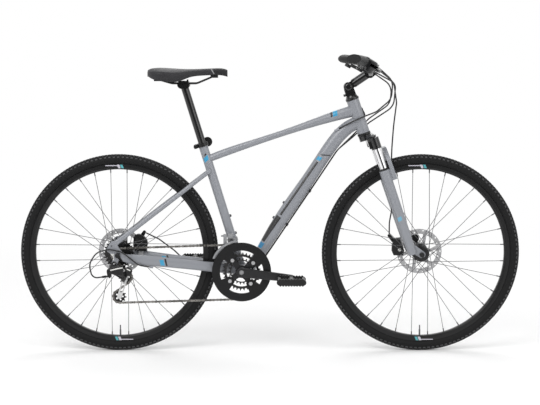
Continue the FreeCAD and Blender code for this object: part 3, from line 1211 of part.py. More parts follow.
def sprocket(teeth, phase):
    """Outline of a toothed wheel whose gaps hold the chain rollers."""
    radius = pitch_radius(teeth)
    tip = PITCH / 2 * (0.55 + 1 / math.tan(math.pi / teeth))
    seat = 0.318 * PITCH
    edges = []
    points = []
    for k in range(int(teeth)):
        angle = phase + k * TURN / teeth
        cx = radius * math.cos(angle)
        cy = radius * math.sin(angle)
        inward = angle + math.pi
        gap = [(cx + seat * math.cos(inward + lean), cy + seat * math.sin(inward + lean))
               for lean in (math.radians(58), 0.0, math.radians(-58))]
        crest = [(tip * math.cos(angle + math.pi / teeth + side * 0.9 / tip),
                  tip * math.sin(angle + math.pi / teeth + side * 0.9 / tip)) for side in (-1, 1)]
        points.append((gap, crest))
    for k, (gap, crest) in enumerate(points):
        following = points[(k + 1) % len(points)][0]
        edges.append(Part.Arc(Vector(*gap[0], 0), Vector(*gap[1], 0), Vector(*gap[2], 0)))
        edges.append(Part.LineSegment(Vector(*gap[2], 0), Vector(*crest[0], 0)))
        edges.append(Part.LineSegment(Vector(*crest[0], 0), Vector(*crest[1], 0)))
        edges.append(Part.LineSegment(Vector(*crest[1], 0), Vector(*following[0], 0)))
    return edges


# Chain: outer links carry the pins, inner links carry the rollers

INNER_FACE = size.tooth_thickness / 2 + 0.25
INNER_OUT = INNER_FACE + 0.95
OUTER_IN = INNER_OUT + 0.15
OUTER_OUT = OUTER_IN + 0.95
PIN_RADIUS = 1.8


def link_plate(low, high, waist):
    """A waisted link plate between two heights."""
    half = PITCH / 2
    end = 4.2
    lean = math.radians(65)
    right = [(half + end * math.cos(a), end * math.sin(a)) for a in (lean, 0, -lean)]
    left = [(-x, y) for x, y in right]
    edges = outline(
        right[0], (right[1], right[2]), ((0, -waist), left[2]), (left[1], left[0]), ((0, waist), right[0]))
    face = Part.Face(Part.Wire(Part.__sortEdges__([e.toShape() for e in edges])))
    face.translate(Vector(0, 0, low))
    return face.extrude(Vector(0, 0, high - low))


def outer_link():
    """Two plates and two pins."""
    half = PITCH / 2
    parts = [link_plate(OUTER_IN, OUTER_OUT, 2.7), link_plate(-OUTER_OUT, -OUTER_IN, 2.7)]
    parts += [Part.makeCylinder(
        PIN_RADIUS, 2 * OUTER_OUT + 0.3, Vector(x, 0, -OUTER_OUT - 0.15)) for x in (half, -half)]
    return parts[0].multiFuse(parts[1:])


def inner_link():
    """Two plates and two rollers, bored for the pins."""
    half = PITCH / 2
    parts = [link_plate(INNER_FACE, INNER_OUT, 3.3), link_plate(-INNER_OUT, -INNER_FACE, 3.3)]
    parts += [Part.makeCylinder(
        0.3 * PITCH, 2 * INNER_FACE, Vector(x, 0, -INNER_FACE)) for x in (half, -half)]
    joined = parts[0].multiFuse(parts[1:])
    bores = [Part.makeCylinder(PIN_RADIUS + 0.12, 20, Vector(x, 0, -10)) for x in (half, -half)]
    return joined.cut(bores)


link_shapes = [outer_link(), inner_link()]
links = []
for k, pin in enumerate(chain_pins):
    following = chain_pins[(k + 1) % len(chain_pins)]
    middle = Vector((pin[0] + following[0]) / 2, -size.chain_line, (pin[1] + following[1]) / 2)
    along = Vector(following[0] - pin[0], 0, following[1] - pin[1])
    link = link_shapes[k % 2].copy()
    link.Placement = facing(middle, RIGHT, along)
    links.append(link)
node(solid("chain_links", Part.makeCompound(links)), "chain")

# Chainset

arm_turn = math.radians(size.crank_angle)
ARM_OUT = Vector(math.cos(arm_turn), 0, math.sin(arm_turn))
bolt_radius = size.bolt_circle / 2
bolt_angles = [size.crank_angle + 45 + 90 * k for k in range(4)]
bolt_places = [
    (bolt_radius * math.cos(math.radians(a)), bolt_radius * math.sin(math.radians(a))) for a in bolt_angles]
outer_y = -size.chain_line
middle_y = outer_y + size.ring_spacing
inner_y = middle_y + size.ring_spacing
half_tooth = size.tooth_thickness / 2


def arc_slot(inner, outer, middle, half):
    """A curved window in a ring, in degrees about its middle."""
    def spot(radius, degrees):
        turn = math.radians(degrees)
        return (radius * math.cos(turn), radius * math.sin(turn))
    return outline(
        spot(inner, middle - half), (spot(inner, middle), spot(inner, middle + half)),
        spot(outer, middle + half),
        (spot(outer, middle), spot(outer, middle - half)), spot(inner, middle - half))


outer_edges = sprocket(size.outer_ring_teeth, phases[0]) + circle(0, 0, bolt_radius - 9)
middle_edges = sprocket(size.middle_ring_teeth, phases[0]) + circle(0, 0, bolt_radius - 9)
for x, y in bolt_places:
    outer_edges += circle(x, y, 5.1)
    middle_edges += circle(x, y, 5.1)


def windowed(name, blank, y, reach, half):
    """A ring opened between its bolt tabs out to a radius."""
    windows = [plate(name + "_window", arc_slot(12, reach, size.crank_angle + 90 * k, half), 6.0,
                     aside(BRACKET, y), RIGHT, FORWARD) for k in range(4)]
    return cut(name + "_open", blank, *windows)


outer_blank = plate("outer_ring", outer_edges, "tooth_thickness", aside(BRACKET, outer_y), RIGHT, FORWARD)
outer_ring = windowed("outer_ring", outer_blank, outer_y, pitch_radius(size.outer_ring_teeth) - 21, 28)
middle_blank = plate("middle_ring", middle_edges, "tooth_thickness", aside(BRACKET, middle_y), RIGHT, FORWARD)
middle_ring = windowed("middle_ring", middle_blank, middle_y, pitch_radius(size.middle_ring_teeth) - 12, 28)
inner_places = [(32 * math.cos(math.radians(a)), 32 * math.sin(math.radians(a))) for a in bolt_angles]
inner_edges = sprocket(size.inner_ring_teeth, phases[0]) + circle(0, 0, 26)
inner_blank = plate("inner_ring", inner_edges, "tooth_thickness", aside(BRACKET, inner_y), RIGHT, FORWARD)
inner_ring = windowed("inner_ring", inner_blank, inner_y, pitch_radius(size.inner_ring_teeth) - 7.5, 26)
guard_y = outer_y - OUTER_OUT - 0.6 - size.guard_thickness / 2
ring_bolts = []
for x, y in bolt_places:
    place = BRACKET + Vector(x, 0, y)
    start = middle_y + half_tooth + 1.5
    end = guard_y - size.guard_thickness / 2
    shank = cylinder("ring_bolt", 5.0, start - end, aside(place, start), RIGHT)
    nut_head = cylinder("ring_bolt_nut", 6.5, 1.5, aside(place, start), RIGHT)
    head = cylinder("ring_bolt_head", 6.5, 1.6, aside(place, end), RIGHT)
    stand_off = outer_y - half_tooth - guard_y - size.guard_thickness / 2
    collar = cylinder("ring_bolt_collar", 8.0, stand_off, aside(place, outer_y - half_tooth), RIGHT)
    ring_bolts.append(fuse("ring_bolt_whole", shank, nut_head, collar, head))
node(group("ring_set", outer_ring, middle_ring, inner_ring, *ring_bolts), "chainrings")

guard_edges = circle(0, 0, size.guard_radius) + circle(0, 0, bolt_radius - 8)
for x, y in bolt_places:
    guard_edges += circle(x, y, 5.1)
guard_blank = plate("guard_ring", guard_edges, "guard_thickness", aside(BRACKET, guard_y), RIGHT, FORWARD)
node(windowed("guard_ring", guard_blank, guard_y, size.guard_radius - 28, 28), "chain_guard")

boss_in = 45.0
boss_out = 79.0
arm_in = size.crank_outer_face - 14.5
spider_middle = (outer_y + half_tooth + middle_y - half_tooth) / 2
star = []
for k in range(4):
    a = math.radians(bolt_angles[k])
    c, s = math.cos(a), math.sin(a)
    for radial, across in ((20.0, -11.0), (bolt_radius - 8, -7.5)):
        star.append((radial * c - across * s, radial * s + across * c))
    star.append((((bolt_radius + 8) * c, (bolt_radius + 8) * s),
                 ((bolt_radius - 8) * c - 7.5 * s, (bolt_radius - 8) * s + 7.5 * c)))
    star.append((20.0 * c - 11.0 * s, 20.0 * s + 11.0 * c))
spider_edges = outline(*star)
for x, y in bolt_places:
    spider_edges += circle(x, y, 5.1)
spider = plate(
    "crank_spider", spider_edges, middle_y - outer_y - size.tooth_thickness, aside(BRACKET, spider_middle),
    RIGHT, FORWARD)
posts = [cylinder(
    "inner_post", 5.0, abs(inner_y - spider_middle) - half_tooth,
    aside(BRACKET + Vector(x, 0, y), spider_middle), LEFT)
         for x, y in inner_places]
pedal_middle = size.crank_outer_face + 9 + size.pedal_width / 2


def crank_arm(name, side, out):
    """A tapered arm with its spindle boss and pedal eye, and the pedal axle screwed into it."""
    arm_body = doc.addObject("PartDesign::Body", name + "_body")
    sketch = sketch_in(arm_body, "XY_Plane", capsule((0, 0), (size.crank_length, 0), 17.0, 13.0))
    pad = arm_body.newObject("PartDesign::Pad", name + "_pad")
    pad.Profile = sketch
    pad.SideType = "Symmetric"
    bind(pad, Length=14.5)
    doc.recompute()
    round_edges = [f"Edge{i + 1}" for i, e in enumerate(pad.Shape.Edges)
                   if abs(abs(e.CenterOfMass.z) - 7.25) < 0.01]
    softened = arm_body.newObject("PartDesign::Fillet", name + "_fillet")
    softened.Base = (pad, round_edges)
    softened.Radius = 4.0
    arm_body.Placement = facing(aside(BRACKET, side * (arm_in + 7.25)), LEFT * side, out)
    boss = cylinder(name + "_boss", 16.5, arm_in + 4 - boss_in, aside(BRACKET, side * boss_in), LEFT * side)
    taper = cylinder(
        name + "_taper", "8.5 + seat_gap", boss_out - boss_in + 20, aside(BRACKET, side * (boss_in - 10)),
        LEFT * side)
    eye = aside(BRACKET + out * size.crank_length, side * (arm_in - 2))
    thread = cylinder(name + "_thread", 7.05, 40.0, eye, LEFT * side)
    blank = fuse(name + "_blank", arm_body, boss, *((spider, *posts) if side < 0 else ()))
    finished = cut(name + "_arm", blank, taper, thread)
    start = side * (arm_in + 0.3)
    end = side * (size.crank_outer_face + 9)
    pin_edges = outline(
        (0, 0), (7.0, 0), (7.0, abs(end - start) - 8), (8.5, abs(end - start) - 8),
        (8.5, abs(end - start) - 0.4),
        (6.0, abs(end - start) - 0.4), (6.0, abs(end - start) + size.pedal_width - 6),
        (0, abs(end - start) + size.pedal_width - 6))
    axle = spun(name + "_pedal_axle", pin_edges, aside(BRACKET + out * size.crank_length, start), LEFT * side)
    return group(name, finished, axle)


node(crank_arm("right_crank", -1, ARM_OUT), "crank_right")
node(crank_arm("left_crank", 1, ARM_OUT * -1), "crank_left")
node(spun("spindle_rod",
          outline((0, -boss_out + 1), (8.5, -boss_out + 1), (8.5, boss_out - 1), (0, boss_out - 1)),
          BRACKET, LEFT), "crank_spindle")


def pedal(name, centre, side):
    """A platform pedal: toothed end plates, two long bars and a barrel on the axle."""
    half_l = size.pedal_length / 2
    half_d = size.pedal_depth / 2
    teeth = []
    count = 9
    pitch = (size.pedal_length - 16) / count
    for k in range(count):
        x = -half_l + 8 + k * pitch
        teeth += [(x, half_d - 3.5), (x + pitch * 0.3, half_d), (x + pitch * 0.7, half_d)]
    top = teeth + [(half_l - 8, half_d - 3.5)]
    edges = outline(*top, ((half_l, 0), (half_l - 8, 3.5 - half_d)), *[(-x, -z) for x, z in teeth],
                    (8 - half_l, 3.5 - half_d), ((-half_l, 0), (8 - half_l, half_d - 3.5)))
    side_plates = [plate(name + "_plate", edges, 9.0, centre + LEFT * (dy * side), RIGHT, FORWARD)
                   for dy in (size.pedal_width / 2 - 4.5, 4.5 - size.pedal_width / 2)]
    bars = [block(name + "_bar", 9.0, size.pedal_width - 4, 17.0, centre + FORWARD * dx, UP, FORWARD)
            for dx in (half_l - 9, 9 - half_l)]
    barrel = cylinder(name + "_barrel", 11.0, size.pedal_width - 2, centre, LEFT, True)
    web = block(name + "_web", size.pedal_length - 14, 14.0, 9.0, centre, UP, FORWARD)
    bore = cylinder(
        name + "_bore", 6.0 + size.running_gap, size.pedal_width - 4,
        centre - LEFT * (side * size.pedal_width / 2 + side * 1), LEFT * side)
    return cut(name, fuse(name + "_blank", *side_plates, *bars, barrel, web), bore)


RIGHT_PEDAL = aside(BRACKET + ARM_OUT * size.crank_length, -pedal_middle)
LEFT_PEDAL = aside(BRACKET - ARM_OUT * size.crank_length, pedal_middle)
node(pedal("right_platform", RIGHT_PEDAL, -1), "right_pedal")
node(pedal("left_platform", LEFT_PEDAL, 1), "left_pedal")

# Cassette: freehub body, eight cogs, spacers and lockring

body_radius = 16.5
cogs = []
for k, teeth in enumerate(COG_TEETH):
    y = outer_y + k * size.cog_spacing
    edges = sprocket(teeth, phases[1]) + circle(0, 0, body_radius + 0.1)
    if teeth > 19:
        for w in range(5):
            edges += arc_slot(23.0, pitch_radius(teeth) - 8.0, 72 * w, 24)
    cogs.append(plate(f"cog_{k}", edges, "tooth_thickness", aside(REAR_AXLE, y), RIGHT, FORWARD))
spacers = []
for k in range(len(COG_TEETH) - 1):
    gap = size.cog_spacing - size.tooth_thickness - 0.1
    spacers.append(spun(f"cog_spacer_{k}", outline(
        (body_radius + 0.1, -gap / 2), (18.0, -gap / 2), (18.0, gap / 2), (body_radius + 0.1, gap / 2)),
        aside(REAR_AXLE, outer_y + (k + 0.5) * size.cog_spacing), LEFT))
freehub_in = outer_y + 7 * size.cog_spacing + 2.6
freehub = spun("freehub_body", outline(
    (rear_bore, outer_y - 0.9), (body_radius, outer_y - 0.9), (body_radius, freehub_in),
    (rear_bore, freehub_in)),
    aside(REAR_AXLE, 0), LEFT)
lockring = spun("lockring", outline(
    (9.4, outer_y - 3.4), (16.5, outer_y - 3.4), (18.2, outer_y - 2.6), (18.2, outer_y - 1.1),
    (9.4, outer_y - 1.1)), aside(REAR_AXLE, 0), LEFT)
node(group("cog_stack", freehub, lockring, *cogs, *spacers), "cassette")

# Rear derailleur

SHIFT_TRAVEL = 7 * size.cog_spacing
SHIFT_DROP = 10.0
link_rest = Vector(50, 4, -30)
link_length = link_rest.Length
deep = link_rest.z - SHIFT_DROP
across = link_rest.y + SHIFT_TRAVEL
link_low = Vector(math.sqrt(max(link_length ** 2 - deep ** 2 - across ** 2, 1.0)), across, deep)
SWING_AXIS = unit(link_rest.cross(link_low))
SWING_ANGLE = math.degrees(math.acos(link_rest.dot(link_low) / link_length ** 2))
LINK_WAY = unit(link_rest)
LINK_SIDE = unit(SWING_AXIS.cross(link_rest))
KNUCKLE_B = REAR_AXLE + Vector(-24, -87, -46)
KNUCKLE_P = KNUCKLE_B + link_rest
PIVOT_SHIFT = 8.0
B_OUTER = KNUCKLE_B - LINK_SIDE * PIVOT_SHIFT
B_INNER = KNUCKLE_B + LINK_SIDE * PIVOT_SHIFT
P_OUTER = KNUCKLE_P - LINK_SIDE * PIVOT_SHIFT
P_INNER = KNUCKLE_P + LINK_SIDE * PIVOT_SHIFT
link_half = 9.0


def link_bar(name, start, radius, waist):
    """One arm of the parallelogram, bored for its two pins."""
    bar = plate(name + "_bar", capsule((0, 0), (link_length, 0), radius, radius), 2 * link_half, start,
                SWING_AXIS, LINK_WAY)
    relief = plate(
        name + "_relief", outline(
            (14, waist), (link_length - 14, waist), (link_length - 18, radius + 4), (18, radius + 4)),
        2 * link_half + 4, start, SWING_AXIS, LINK_WAY)
    holes = [cylinder(
        name + "_hole", "2 + running_gap", 60.0, start + LINK_WAY * d, SWING_AXIS,
        True) for d in (0, link_length)]
    return cut(name, bar, relief, *holes)


node(link_bar("derailleur_outer", B_OUTER, 5.0, 3.6), "derailleur_outer_link")
node(link_bar("derailleur_inner", B_INNER, 4.4, 1.8), "derailleur_inner_link")


def knuckle_cheeks(name, first, second):
    """Two cheeks joined by two pins on which the links turn."""
    middle = (first + second) * 0.5
    way = second - first
    pieces = []
    for side in (1, -1):
        pieces.append(
            plate(name + "_cheek", capsule((-way.Length / 2, 0), (way.Length / 2, 0), 6.5, 6.5), 3.2,
                            middle + SWING_AXIS * (side * (link_half + 2.2)), SWING_AXIS, way))
    for point in (first, second):
        pieces.append(cylinder(name + "_pin", 2.0, 2 * link_half + 8, point, SWING_AXIS, True))
    return pieces


hanger_face = -(rear_half + size.dropout_thickness) - 0.1
b_barrel = cylinder("b_barrel", 9.0, 7.5, aside(HANGER, hanger_face), RIGHT)
b_bolt = cylinder("b_bolt", 4.9, 13.0, aside(HANGER, hanger_face - 6), LEFT)
b_arm_end = KNUCKLE_B + SWING_AXIS * (link_half + 2.2)
b_arm = cylinder(
    "b_arm", 5.0, (b_arm_end - aside(HANGER, hanger_face - 4)).Length, aside(HANGER, hanger_face - 4),
    b_arm_end - aside(HANGER, hanger_face - 4))
b_trim = block("b_trim", 60.0, 40.0, 60.0, aside(HANGER, hanger_face + 20), UP, FORWARD)
b_rough = fuse("b_rough", b_barrel, b_arm, *knuckle_cheeks("b_knuckle", B_OUTER, B_INNER))
node(fuse("b_whole", cut("b_trimmed", b_rough, b_trim), b_bolt), "derailleur_b_knuckle")

cage_axis = Vector(CAGE_PIVOT[0], 0, CAGE_PIVOT[1])
cage_outer = outer_y - 3.95
cage_inner = outer_y + 3.95
p_face = cage_outer - 1.6 - 0.8
p_barrel = cylinder("p_barrel", 9.0, 11.0, aside(cage_axis, p_face), RIGHT)
p_arm_end = KNUCKLE_P + SWING_AXIS * (link_half + 2.2)
p_arm_start = aside(cage_axis, p_face - 7)
p_arm = cylinder("p_arm", 5.0, (p_arm_end - p_arm_start).Length, p_arm_start, p_arm_end - p_arm_start)
p_bore = cylinder("p_bore", "4 + running_gap", 40.0, aside(cage_axis, p_face + 10), RIGHT)
p_trim = block("p_trim", 80.0, 40.0, 80.0, aside(cage_axis, p_face + 20), UP, FORWARD)
p_rough = fuse("p_rough", p_barrel, p_arm, *knuckle_cheeks("p_knuckle", P_OUTER, P_INNER))
node(cut("p_whole", p_rough, p_trim, p_bore), "derailleur_p_knuckle")

guide_at = Vector(GUIDE[0], 0, GUIDE[1])
tension_at = Vector(TENSION[0], 0, TENSION[1])
reach_out = tension_at - guide_at
plate_x = unit(reach_out)


def cage_plate(name, y):
    """A cage side plate from the pivot past the guide pulley to the tension pulley."""
    strip = plate(
        name, capsule((0, 0), (size.cage_length, 0), 9.0, 8.0), 1.6, aside(guide_at, y), LEFT, plate_x)
    window = plate(
        name + "_window", capsule((22, 0), (size.cage_length - 20, 0), 4.0, 3.6), 6.0, aside(guide_at, y),
        LEFT, plate_x)
    return cut(name + "_cut", strip, window)


outer_plate = cage_plate("cage_outer_plate", cage_outer - 0.8)
inner_plate = cage_plate("cage_inner_plate", cage_inner + 0.8)
pivot_web = plate(
    "cage_pivot_web", capsule((GUIDE[0] - CAGE_PIVOT[0], GUIDE[1] - CAGE_PIVOT[1]), (0, 0), 9.0, 8.0), 1.6,
    aside(cage_axis, cage_outer - 0.8), RIGHT, FORWARD)
pivot_shaft = cylinder("cage_pivot_shaft", 4.0, 12.6, aside(cage_axis, cage_outer - 0.8), RIGHT)
cage_bolts = [
    cylinder("cage_bolt", 2.4, cage_inner - cage_outer + 4.6, aside(spot, cage_outer - 2.1),
             LEFT) for spot in (guide_at, tension_at)]
node(fuse("cage_whole", outer_plate, inner_plate, pivot_web, pivot_shaft, *cage_bolts), "derailleur_cage")
for label, spot, phase in (("guide_pulley", guide_at, phases[2]), ("tension_pulley", tension_at, phases[3])):
    edges = sprocket(size.pulley_teeth, phase) + circle(0, 0, 2.4 + size.running_gap)
    for w in range(5):
        turn = math.radians(72 * w)
        edges += circle(11.5 * math.cos(turn), 11.5 * math.sin(turn), 3.2)
    wheel = plate(label + "_teeth", edges, "tooth_thickness", aside(spot, outer_y), RIGHT, FORWARD)
    collar_edges = outline(
        (2.4 + size.running_gap, -3.2), (6.5, -3.2), (6.5, 3.2), (2.4 + size.running_gap, 3.2))
    node(fuse(label + "_whole", wheel, spun(label + "_collar", collar_edges, aside(spot, outer_y), LEFT)),
         label)

# Front derailleur

band_middle = BRACKET + SEAT_UP * (size.guard_radius + 8)
mech_rise = size.guard_radius + 22
band = cut("mech_band",
           cylinder("mech_band_round", "seat_tube_diameter / 2 + 3", 13.0, band_middle, SEAT_UP, True),
           cylinder("mech_band_hole", "seat_tube_diameter / 2 + seat_gap", 40.0, band_middle, SEAT_UP, True))
MECH_PIVOT = Vector(BRACKET.x - 50, outer_y + 10, BRACKET.z + mech_rise)
mech_bracket = plate("mech_bracket", outline((15, -6), (22, -6), (58, 12), (58, 27), (42, 27), (15, 7)), 16.0,
                     Vector(band_middle.x - 6, 0, band_middle.z), Vector(-1, 0, 0), RIGHT)
mech_pin = cylinder("mech_pin", 3.0, 44.0, MECH_PIVOT, FORWARD, True)
mech_nose = block("mech_nose", 15.0, 14.0, 14.0, MECH_PIVOT + FORWARD * 9, UP, FORWARD)
mech_room = cylinder("mech_room", "seat_tube_diameter / 2 + seat_gap", 120.0, band_middle, SEAT_UP, True)
node(fuse("mech_body", cut("mech_cut", fuse("mech_blank", band, mech_bracket, mech_nose), mech_room),
          mech_pin),
     "front_derailleur_body")

ring_low = size.guard_radius + 3.4
ring_high = size.guard_radius + 10


def cage_side(name, y, low, thickness):
    """A curved cage plate above the chainring with its tail round the chain."""
    def spot(radius, degrees):
        turn = math.radians(degrees)
        return (radius * math.cos(turn), radius * math.sin(turn))
    edges = outline(spot(low, 98), (spot(low, 126), spot(low, 154)), spot(ring_high - 1.6, 155),
                    (spot(ring_high + 0.6, 130), spot(ring_high, 108)), spot(ring_high - 1.5, 97))
    return plate(name, edges, thickness, aside(BRACKET, y), RIGHT, FORWARD)


mech_outer = cage_side("mech_outer", outer_y - 6.6, ring_low, 1.6)
mech_inner = cage_side("mech_inner", outer_y + 6.8, ring_low - 19, 1.6)
mech_span = mech_inner.Placement.Base.y - mech_outer.Placement.Base.y
span_middle = (mech_inner.Placement.Base.y + mech_outer.Placement.Base.y) / 2
top_bridge = plate(
    "mech_top", arc_slot(ring_high - 3.0, ring_high - 1.0, 106, 6), mech_span, aside(BRACKET, span_middle),
    RIGHT, FORWARD)
tail_bridge = plate(
    "mech_tail", arc_slot(ring_low + 0.6, ring_low + 4, 153, 0.8), mech_span, aside(BRACKET, span_middle),
    RIGHT, FORWARD)
mech_link = plate(
    "mech_link", capsule((0, 0), (MECH_PIVOT.y - (outer_y + 11.0), mech_rise - ring_high + 24), 6.5, 5.0),
    12.0, MECH_PIVOT - FORWARD * 8, FORWARD, RIGHT)
mech_bore = cylinder("mech_bore", "3 + running_gap", 80.0, MECH_PIVOT, FORWARD, True)
node(cut("mech_cage", fuse("mech_cage_blank", mech_outer, mech_inner, top_bridge, tail_bridge, mech_link),
         mech_bore),
     "front_derailleur_cage")

# Cables, each along its own route in straight runs and tangent arcs

cable_r = size.cable_diameter / 2
CABLE_BEND = 45.0


def flipped(point):
    """The same place on the right side."""
    return Vector(point.x, -point.y, point.z)


def by_head(x, y, z):
    """A place measured from the top of the head tube."""
    return HEAD_TOP + Vector(x, y, z)


def cable(points):
    """A housing of round section."""
    return swept(points, CABLE_BEND, cable_r)


brake_start = pod_point(-42.3, 30, 0)
shift_start = pod_point(-38.3, 22, 20)
inward = BAR_OUT * -48
front_end = front_arm_pivot + Vector(FRONT_ARM_END[0], 0, FRONT_ARM_END[1] + 6.6)
front_line = [
    brake_start, brake_start + inward, by_head(147.8, 42, 61.3), by_head(157.8, 34, -10.7),
    by_head(147.8, 34, -90.7), by_head(140.8, 34, -190.7), FRONT_AXLE + Vector(-99.5, 36, 150),
    Vector(front_end.x, 58.8, FRONT_AXLE.z + 100), aside(front_end, 58.8)]
node(solid("front_brake_line", cable(front_line)), "front_brake_cable")


def under_tube(fraction, bow, y):
    """A place below the down tube, beside its middle."""
    middle = between(down_rear, down_front, fraction) + down_bow * bow
    return middle - down_side * (size.down_tube_depth / 2 + cable_r + 1.2) + LEFT * y


rear_entry = [
    flipped(brake_start), flipped(brake_start + inward), by_head(137.8, -40, 67.3), by_head(133.8, -31, 3.3),
    by_head(81.8, -29, -40.7), by_head(39.8, -29, -56.7), PORT_ENTRY - ENTRY_WAY * 40, PORT_ENTRY]
rear_arm_tip = rear_arm_pivot + Vector(REAR_ARM_END[0], 0, REAR_ARM_END[1])
rear_exit = [PORT_EXIT, PORT_EXIT + EXIT_WAY * 30, Vector(rear_arm_tip.x + 52, 70.8, rear_arm_tip.z - 25),
             aside(rear_arm_tip + Vector(6.1, 0, -2.9), 70.8)]
shift_front = [
    shift_start, shift_start + inward, by_head(139.8, 26, 49.3), by_head(133.8, 28, -14.7),
    by_head(59.8, 30, -66.7), by_head(5.8, 30, -122.7), under_tube(0.81, 1.0, -4), under_tube(0.58, 0.70, -4),
    under_tube(0.29, 0.36, -4), under_tube(0.075, 0.1, -4)]
shift_rear = [
    flipped(shift_start), flipped(shift_start + inward), by_head(150.8, -12, 57.3), by_head(146.8, 34, -24.7),
    by_head(61.8, 37, -80.7), by_head(1.8, 37, -133.7), under_tube(0.81, 1.0, 4), under_tube(0.58, 0.70, 4),
    under_tube(0.29, 0.36, 4), under_tube(0.075, 0.1, 4)]
mech_end = REAR_AXLE + Vector(-44, -91, -73)
END_WAY = unit(Vector(0.99, 0, 0.14))
shift_loop = [
    STOP_END, STOP_END + STOP_WAY * 14, REAR_AXLE + Vector(72, -77, -34), REAR_AXLE + Vector(16, -81, 13),
    REAR_AXLE + Vector(-30, -81, 22), REAR_AXLE + Vector(-72, -84, 12), REAR_AXLE + Vector(-99, -89, -28),
    mech_end - END_WAY * 44, mech_end]
node(group("cable_set", *[solid("cable_run", cable(points)) for points in (
    rear_entry, rear_exit, shift_front, shift_rear, shift_loop)]), "control_cables")
CABLE_LENGTHS = [rounded_path(points, CABLE_BEND).Length for points in (
    front_line, rear_entry, rear_exit, shift_front, shift_rear, shift_loop)]

# Bolts and guides on the frame

guides = []
for fraction in (0.10, 0.84):
    middle = between(under_tube(0.58, 0.70, 0), under_tube(0.29, 0.36, 0), fraction)
    way = unit(under_tube(0.58, 0.70, 0) - under_tube(0.29, 0.36, 0))
    holes = [cylinder("clip_hole", cable_r + 0.3, 60.0, middle + LEFT * y, way, True) for y in (4, -4)]
    seat = middle - way.cross(LEFT) * 0.4
    guides.append(
        cut("cable_clip", block("cable_clip_block", 9.0, 20.0, 7.2, seat, way.cross(LEFT), way), *holes))
node(group("frame_bolts", *bottle_bolts, *guides), "frame_fittings")

# Check and write every piece

doc.recompute()
for feature in doc.Objects:
    if "Invalid" in feature.State or "Error" in feature.State:
        raise RuntimeError(f"{feature.Name} did not build: {feature.State}")
os.makedirs("parts", exist_ok=True)
for feature in nodes:
    shape = feature.Shape
    if shape.isNull() or not shape.isValid() or not shape.Solids:
        raise RuntimeError(f"{feature.Label} has no sound shape")
    shape.exportStep(f"parts/{feature.Label}.step")
print(f"{len(nodes)} pieces, chain of {len(chain_pins)} links")
print(f"cage at {math.degrees(CAGE_ANGLE):.2f} degrees")
print(f"derailleur swing {SWING_ANGLE:.2f} degrees about {SWING_AXIS}")
print("cable lengths", [round(length) for length in CABLE_LENGTHS])
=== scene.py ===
import json
import math

import bmesh
import bpy
import numpy as np
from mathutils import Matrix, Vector


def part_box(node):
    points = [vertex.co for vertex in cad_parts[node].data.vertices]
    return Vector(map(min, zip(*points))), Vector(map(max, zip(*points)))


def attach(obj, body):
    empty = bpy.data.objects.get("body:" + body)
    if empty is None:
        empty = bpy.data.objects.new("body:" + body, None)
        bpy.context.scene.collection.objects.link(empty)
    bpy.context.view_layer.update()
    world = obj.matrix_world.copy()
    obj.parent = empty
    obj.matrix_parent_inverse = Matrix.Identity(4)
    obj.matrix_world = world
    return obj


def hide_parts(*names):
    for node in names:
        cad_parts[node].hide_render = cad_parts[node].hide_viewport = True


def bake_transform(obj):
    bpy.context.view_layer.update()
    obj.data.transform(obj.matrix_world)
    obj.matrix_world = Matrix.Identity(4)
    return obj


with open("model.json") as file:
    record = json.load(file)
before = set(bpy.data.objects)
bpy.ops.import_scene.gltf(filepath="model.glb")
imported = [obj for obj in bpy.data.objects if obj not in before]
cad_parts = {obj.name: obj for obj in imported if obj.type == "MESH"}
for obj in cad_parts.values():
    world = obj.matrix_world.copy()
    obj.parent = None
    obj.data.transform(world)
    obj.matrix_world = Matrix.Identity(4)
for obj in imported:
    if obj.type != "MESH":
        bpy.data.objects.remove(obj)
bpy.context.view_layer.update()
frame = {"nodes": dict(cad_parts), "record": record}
nodes = frame["nodes"]
scene = bpy.context.scene
scene.view_settings.view_transform = "Standard"

# Camera and stage: places in metres, lens and sensor in millimetres
CAMERA_PLACE = Vector((0.0, -5.2, 1.04))
CAMERA_AIM = Vector((0.0, 0.0, 0.5284))
CAMERA_LENS = 98.45
CAMERA_SENSOR = 36.0
CAMERA_REACH = 200.0
FLOOR_HALF = 3.6
FLOOR_COLOUR = (0.93, 0.93, 0.93)
FLOOR_NEAR, FLOOR_FAR = 1.3, 3.4
AMBIENT = 0.62
DARK_SIDE = 0.10
DARK_FROM, DARK_TO = -0.74, -0.40
LAMP_SIZE = 3.0
LAMPS = [
    # name, place, height of its aim, power
    ("key_light", (-2.2, -3.4, 3.6), 0.5, 130.0),
    ("fill_light", (2.6, -3.0, 2.4), 0.5, 60.0),
    ("rim_light", (0.6, 3.2, 3.4), 0.6, 60.0),
]

# Paint colours
GREY = (0.222, 0.231, 0.253)
BLUE = (0.030, 0.275, 0.470)
DEEP_BLUE = (0.022, 0.180, 0.350)
PALE_BLUE = (0.130, 0.330, 0.450)
INK = (0.012, 0.012, 0.013)
RIM_WHITE = (0.46, 0.45, 0.50)
RIM_TEAL = (0.08, 0.33, 0.36)
SILVER = (0.62, 0.62, 0.60)
SADDLE_GREY = (0.022, 0.0215, 0.024)
NOSE_BLACK = (0.012, 0.012, 0.013)
STRIPE_GREY = (0.200, 0.200, 0.205)
BLACK = (0.0070, 0.0070, 0.0074)
RUBBER = (0.0065, 0.0065, 0.0068)
CHAIN_DARK = (0.050, 0.047, 0.043)
CHAIN_MIDDLE = (0.14, 0.135, 0.13)
CHAIN_LIGHT = (0.360, 0.345, 0.325)

# Shading of the meshes
WELD = 0.00001
CREASE = math.radians(32)
SADDLE_CREASE = math.radians(55)
BUMP_DEPTH = 0.0004

